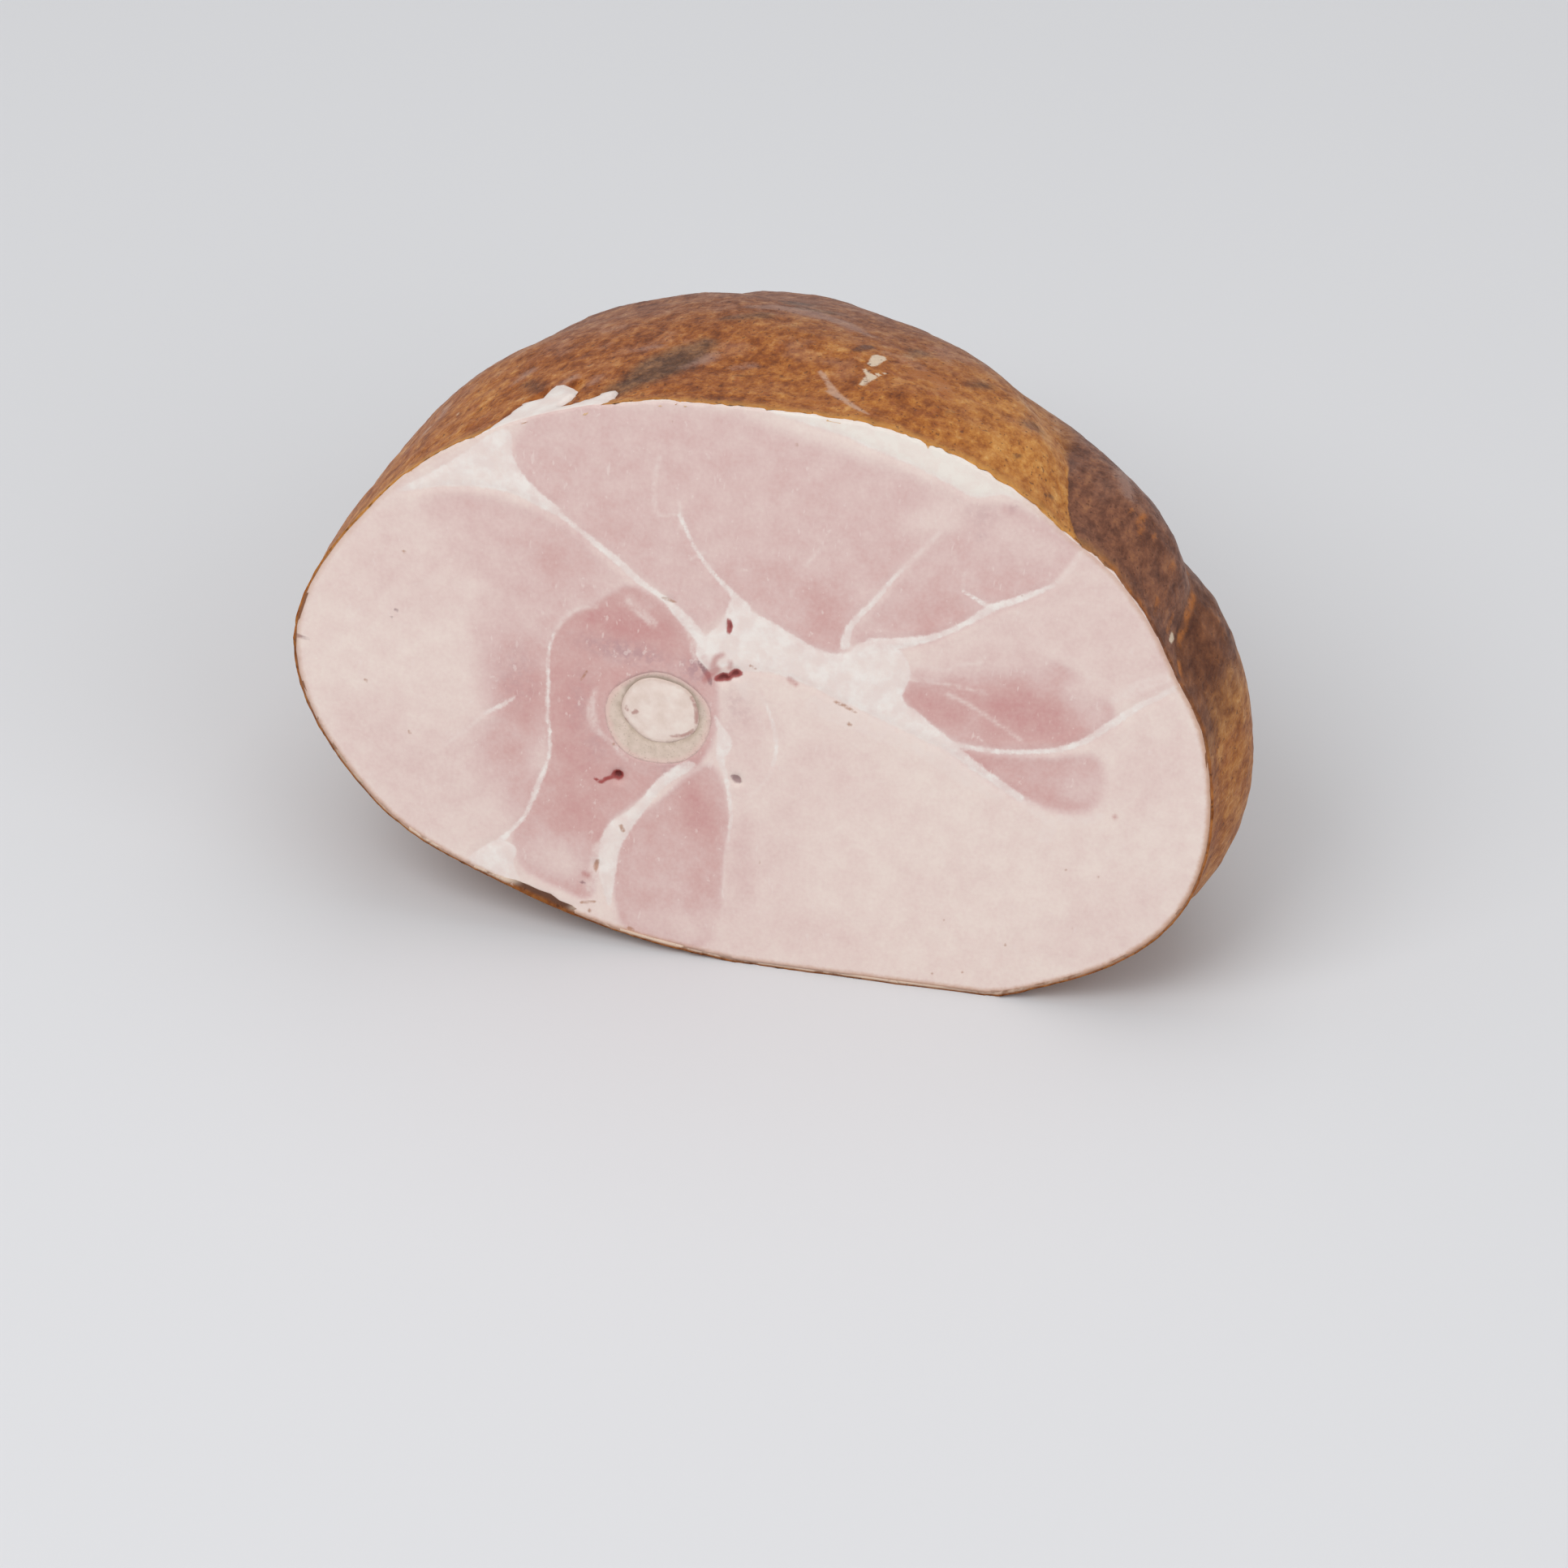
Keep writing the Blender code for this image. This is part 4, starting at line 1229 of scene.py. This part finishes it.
def makeMarrow(material):
    bm = nodeCopy("bone_marrow")
    openEnds(bm)
    moveVerts(bm, fitToOval(vertRows(bm), marrowOval, bone["overlap"]))
    fillEnds(bm)
    rows = vertRows(bm)
    edge = ovalDepth(rows, marrowOval)
    front = rows[:, 2] > -0.01
    drop = 0.30 - 0.16 * smoothstep(edge / 4.0) + 0.10 * cloud(rows, 2.4, 6.0)
    rows[front, 2] = -np.clip(drop, 0.0, None)[front]
    moveVerts(bm, rows)
    setFloats(bm, "edgeGap", np.where(rows[:, 2] > -4.0, np.clip(edge, -2.0, 9.0), 4.0))
    fleck = deepest(rows[:, :2], marrowMarks, 3.0, 0.5)
    setFloats(bm, "marrowMark", np.where(front, fleck, -3.0))
    return finishPiece("boneMarrow", bm, material, "bone_marrow")


def boneMaterial():
    mat, shader, surface, where = newMaterial("sawn bone")
    grain = useGrain(shader, where, 2.0, 0.5)
    wander = shader.scaled(grain["Blotch"], 1.6, -0.8)
    colour = shader.ramp(grain["Blotch"], (
        (0.3, (204, 184, 169)), (0.5, (213, 193, 178)), (0.7, (222, 201, 188))))
    outer = shader.fade(shader.plus(shader.attribute("wallGap"), wander), 0.0, 1.9, 0.85, 0.0)
    colour = shader.mix(outer, colour, tint(225, 192, 183))
    inner = shader.fade(shader.scaled(wander, 0.8, shader.attribute("marrowGap")),
                        0.1, 1.3, 0.55, 0.0)
    colour = shader.mix(inner, colour, tint(174, 154, 134))
    pores = shader.fade(shader.noise(where, 0.5, 1.0, 0.5), 0.30, 0.36, 0.35, 0.0)
    colour = shader.mix(pores, colour, tint(160, 138, 120))
    shader.plug(surface.inputs["Base Color"], colour)
    surface.inputs["Roughness"].default_value = 0.5
    shader.roughen(surface, grain["Height"], 0.35, 0.12)
    return mat


def marrowMaterial():
    mat, shader, surface, where = newMaterial("marrow")
    grain = useGrain(shader, where, 3.0, 0.8)
    colour = shader.ramp(grain["Blotch"], (
        (0.3, (222, 202, 190)), (0.5, (231, 213, 203)), (0.7, (236, 222, 212))))
    wander = shader.scaled(grain["Grain"], 0.8, -0.4)
    rim = shader.fade(shader.plus(shader.attribute("edgeGap"), wander), 0.0, 1.1, 0.5, 0.0)
    colour = shader.mix(rim, colour, tint(206, 178, 164))
    mark = shader.edge("marrowMark", wander, -0.4, 0.2, 0.7)
    colour = shader.mix(mark, colour, tint(166, 112, 104))
    shader.plug(surface.inputs["Base Color"], colour)
    surface.inputs["Roughness"].default_value = 0.42
    shader.roughen(surface, grain["Height"], 0.35, 0.15)
    return mat


makeBone(boneMaterial())
makeMarrow(marrowMaterial())

print("setting the camera, the floor and the lights")

view = {
    "target": (-0.0019, -0.0536, 0.015),
    "azimuth": 12.0,
    "elevation": 36.5,
    "distance": 1.150,
    "sensor": 36.0,
    "imageWidth": 1932,
    "focal": 6050.0,        # in the photograph's pixels
}
azimuth = math.radians(view["azimuth"])
elevation = math.radians(view["elevation"])
backward = Vector((math.sin(azimuth) * math.cos(elevation),
                   -math.cos(azimuth) * math.cos(elevation), math.sin(elevation)))
cameraData = bpy.data.cameras.new("photoView")
cameraData.sensor_width = view["sensor"]
cameraData.lens = view["sensor"] * view["focal"] / view["imageWidth"]
camera = bpy.data.objects.new("photoView", cameraData)
camera.location = Vector(view["target"]) + backward * view["distance"]
camera.rotation_euler = backward.to_track_quat("Z", "Y").to_euler()
scene.collection.objects.link(camera)
scene.camera = camera
scene.view_settings.view_transform = "Standard"

floorMesh = bpy.data.meshes.new("paleFloor")
floorBm = bmesh.new()
bmesh.ops.create_grid(floorBm, x_segments=1, y_segments=1, size=3.0)
floorBm.to_mesh(floorMesh)
floorBm.free()
floor = bpy.data.objects.new("paleFloor", floorMesh)
scene.collection.objects.link(floor)
floorMaterial = bpy.data.materials.new("pale floor")
floorMaterial.use_nodes = True
floorSurface = floorMaterial.node_tree.nodes["Principled BSDF"]
floorSurface.inputs["Base Color"].default_value = tint(217, 218, 221)
floorSurface.inputs["Roughness"].default_value = 0.6
floorMesh.materials.append(floorMaterial)


def softLight(name, place, width, power, aim=(0.0, 0.0, 0.06)):
    data = bpy.data.lights.new(name, "AREA")
    data.size = width
    data.energy = power
    lamp = bpy.data.objects.new(name, data)
    lamp.location = place
    lamp.rotation_euler = (Vector(place) - Vector(aim)).to_track_quat("Z", "Y").to_euler()
    scene.collection.objects.link(lamp)


softLight("keyLight", (-0.7, -1.0, 1.5), 1.2, 15.0)
softLight("fillLight", (1.2, -0.9, 0.9), 1.2, 6.0)
softLight("topLight", (0.1, 0.6, 1.6), 1.4, 5.5)
world = bpy.data.worlds.new("studio")
world.use_nodes = True
backdrop = world.node_tree.nodes["Background"].inputs
backdrop["Color"].default_value = (1.0, 1.0, 1.0, 1.0)
backdrop["Strength"].default_value = 0.50
scene.world = world
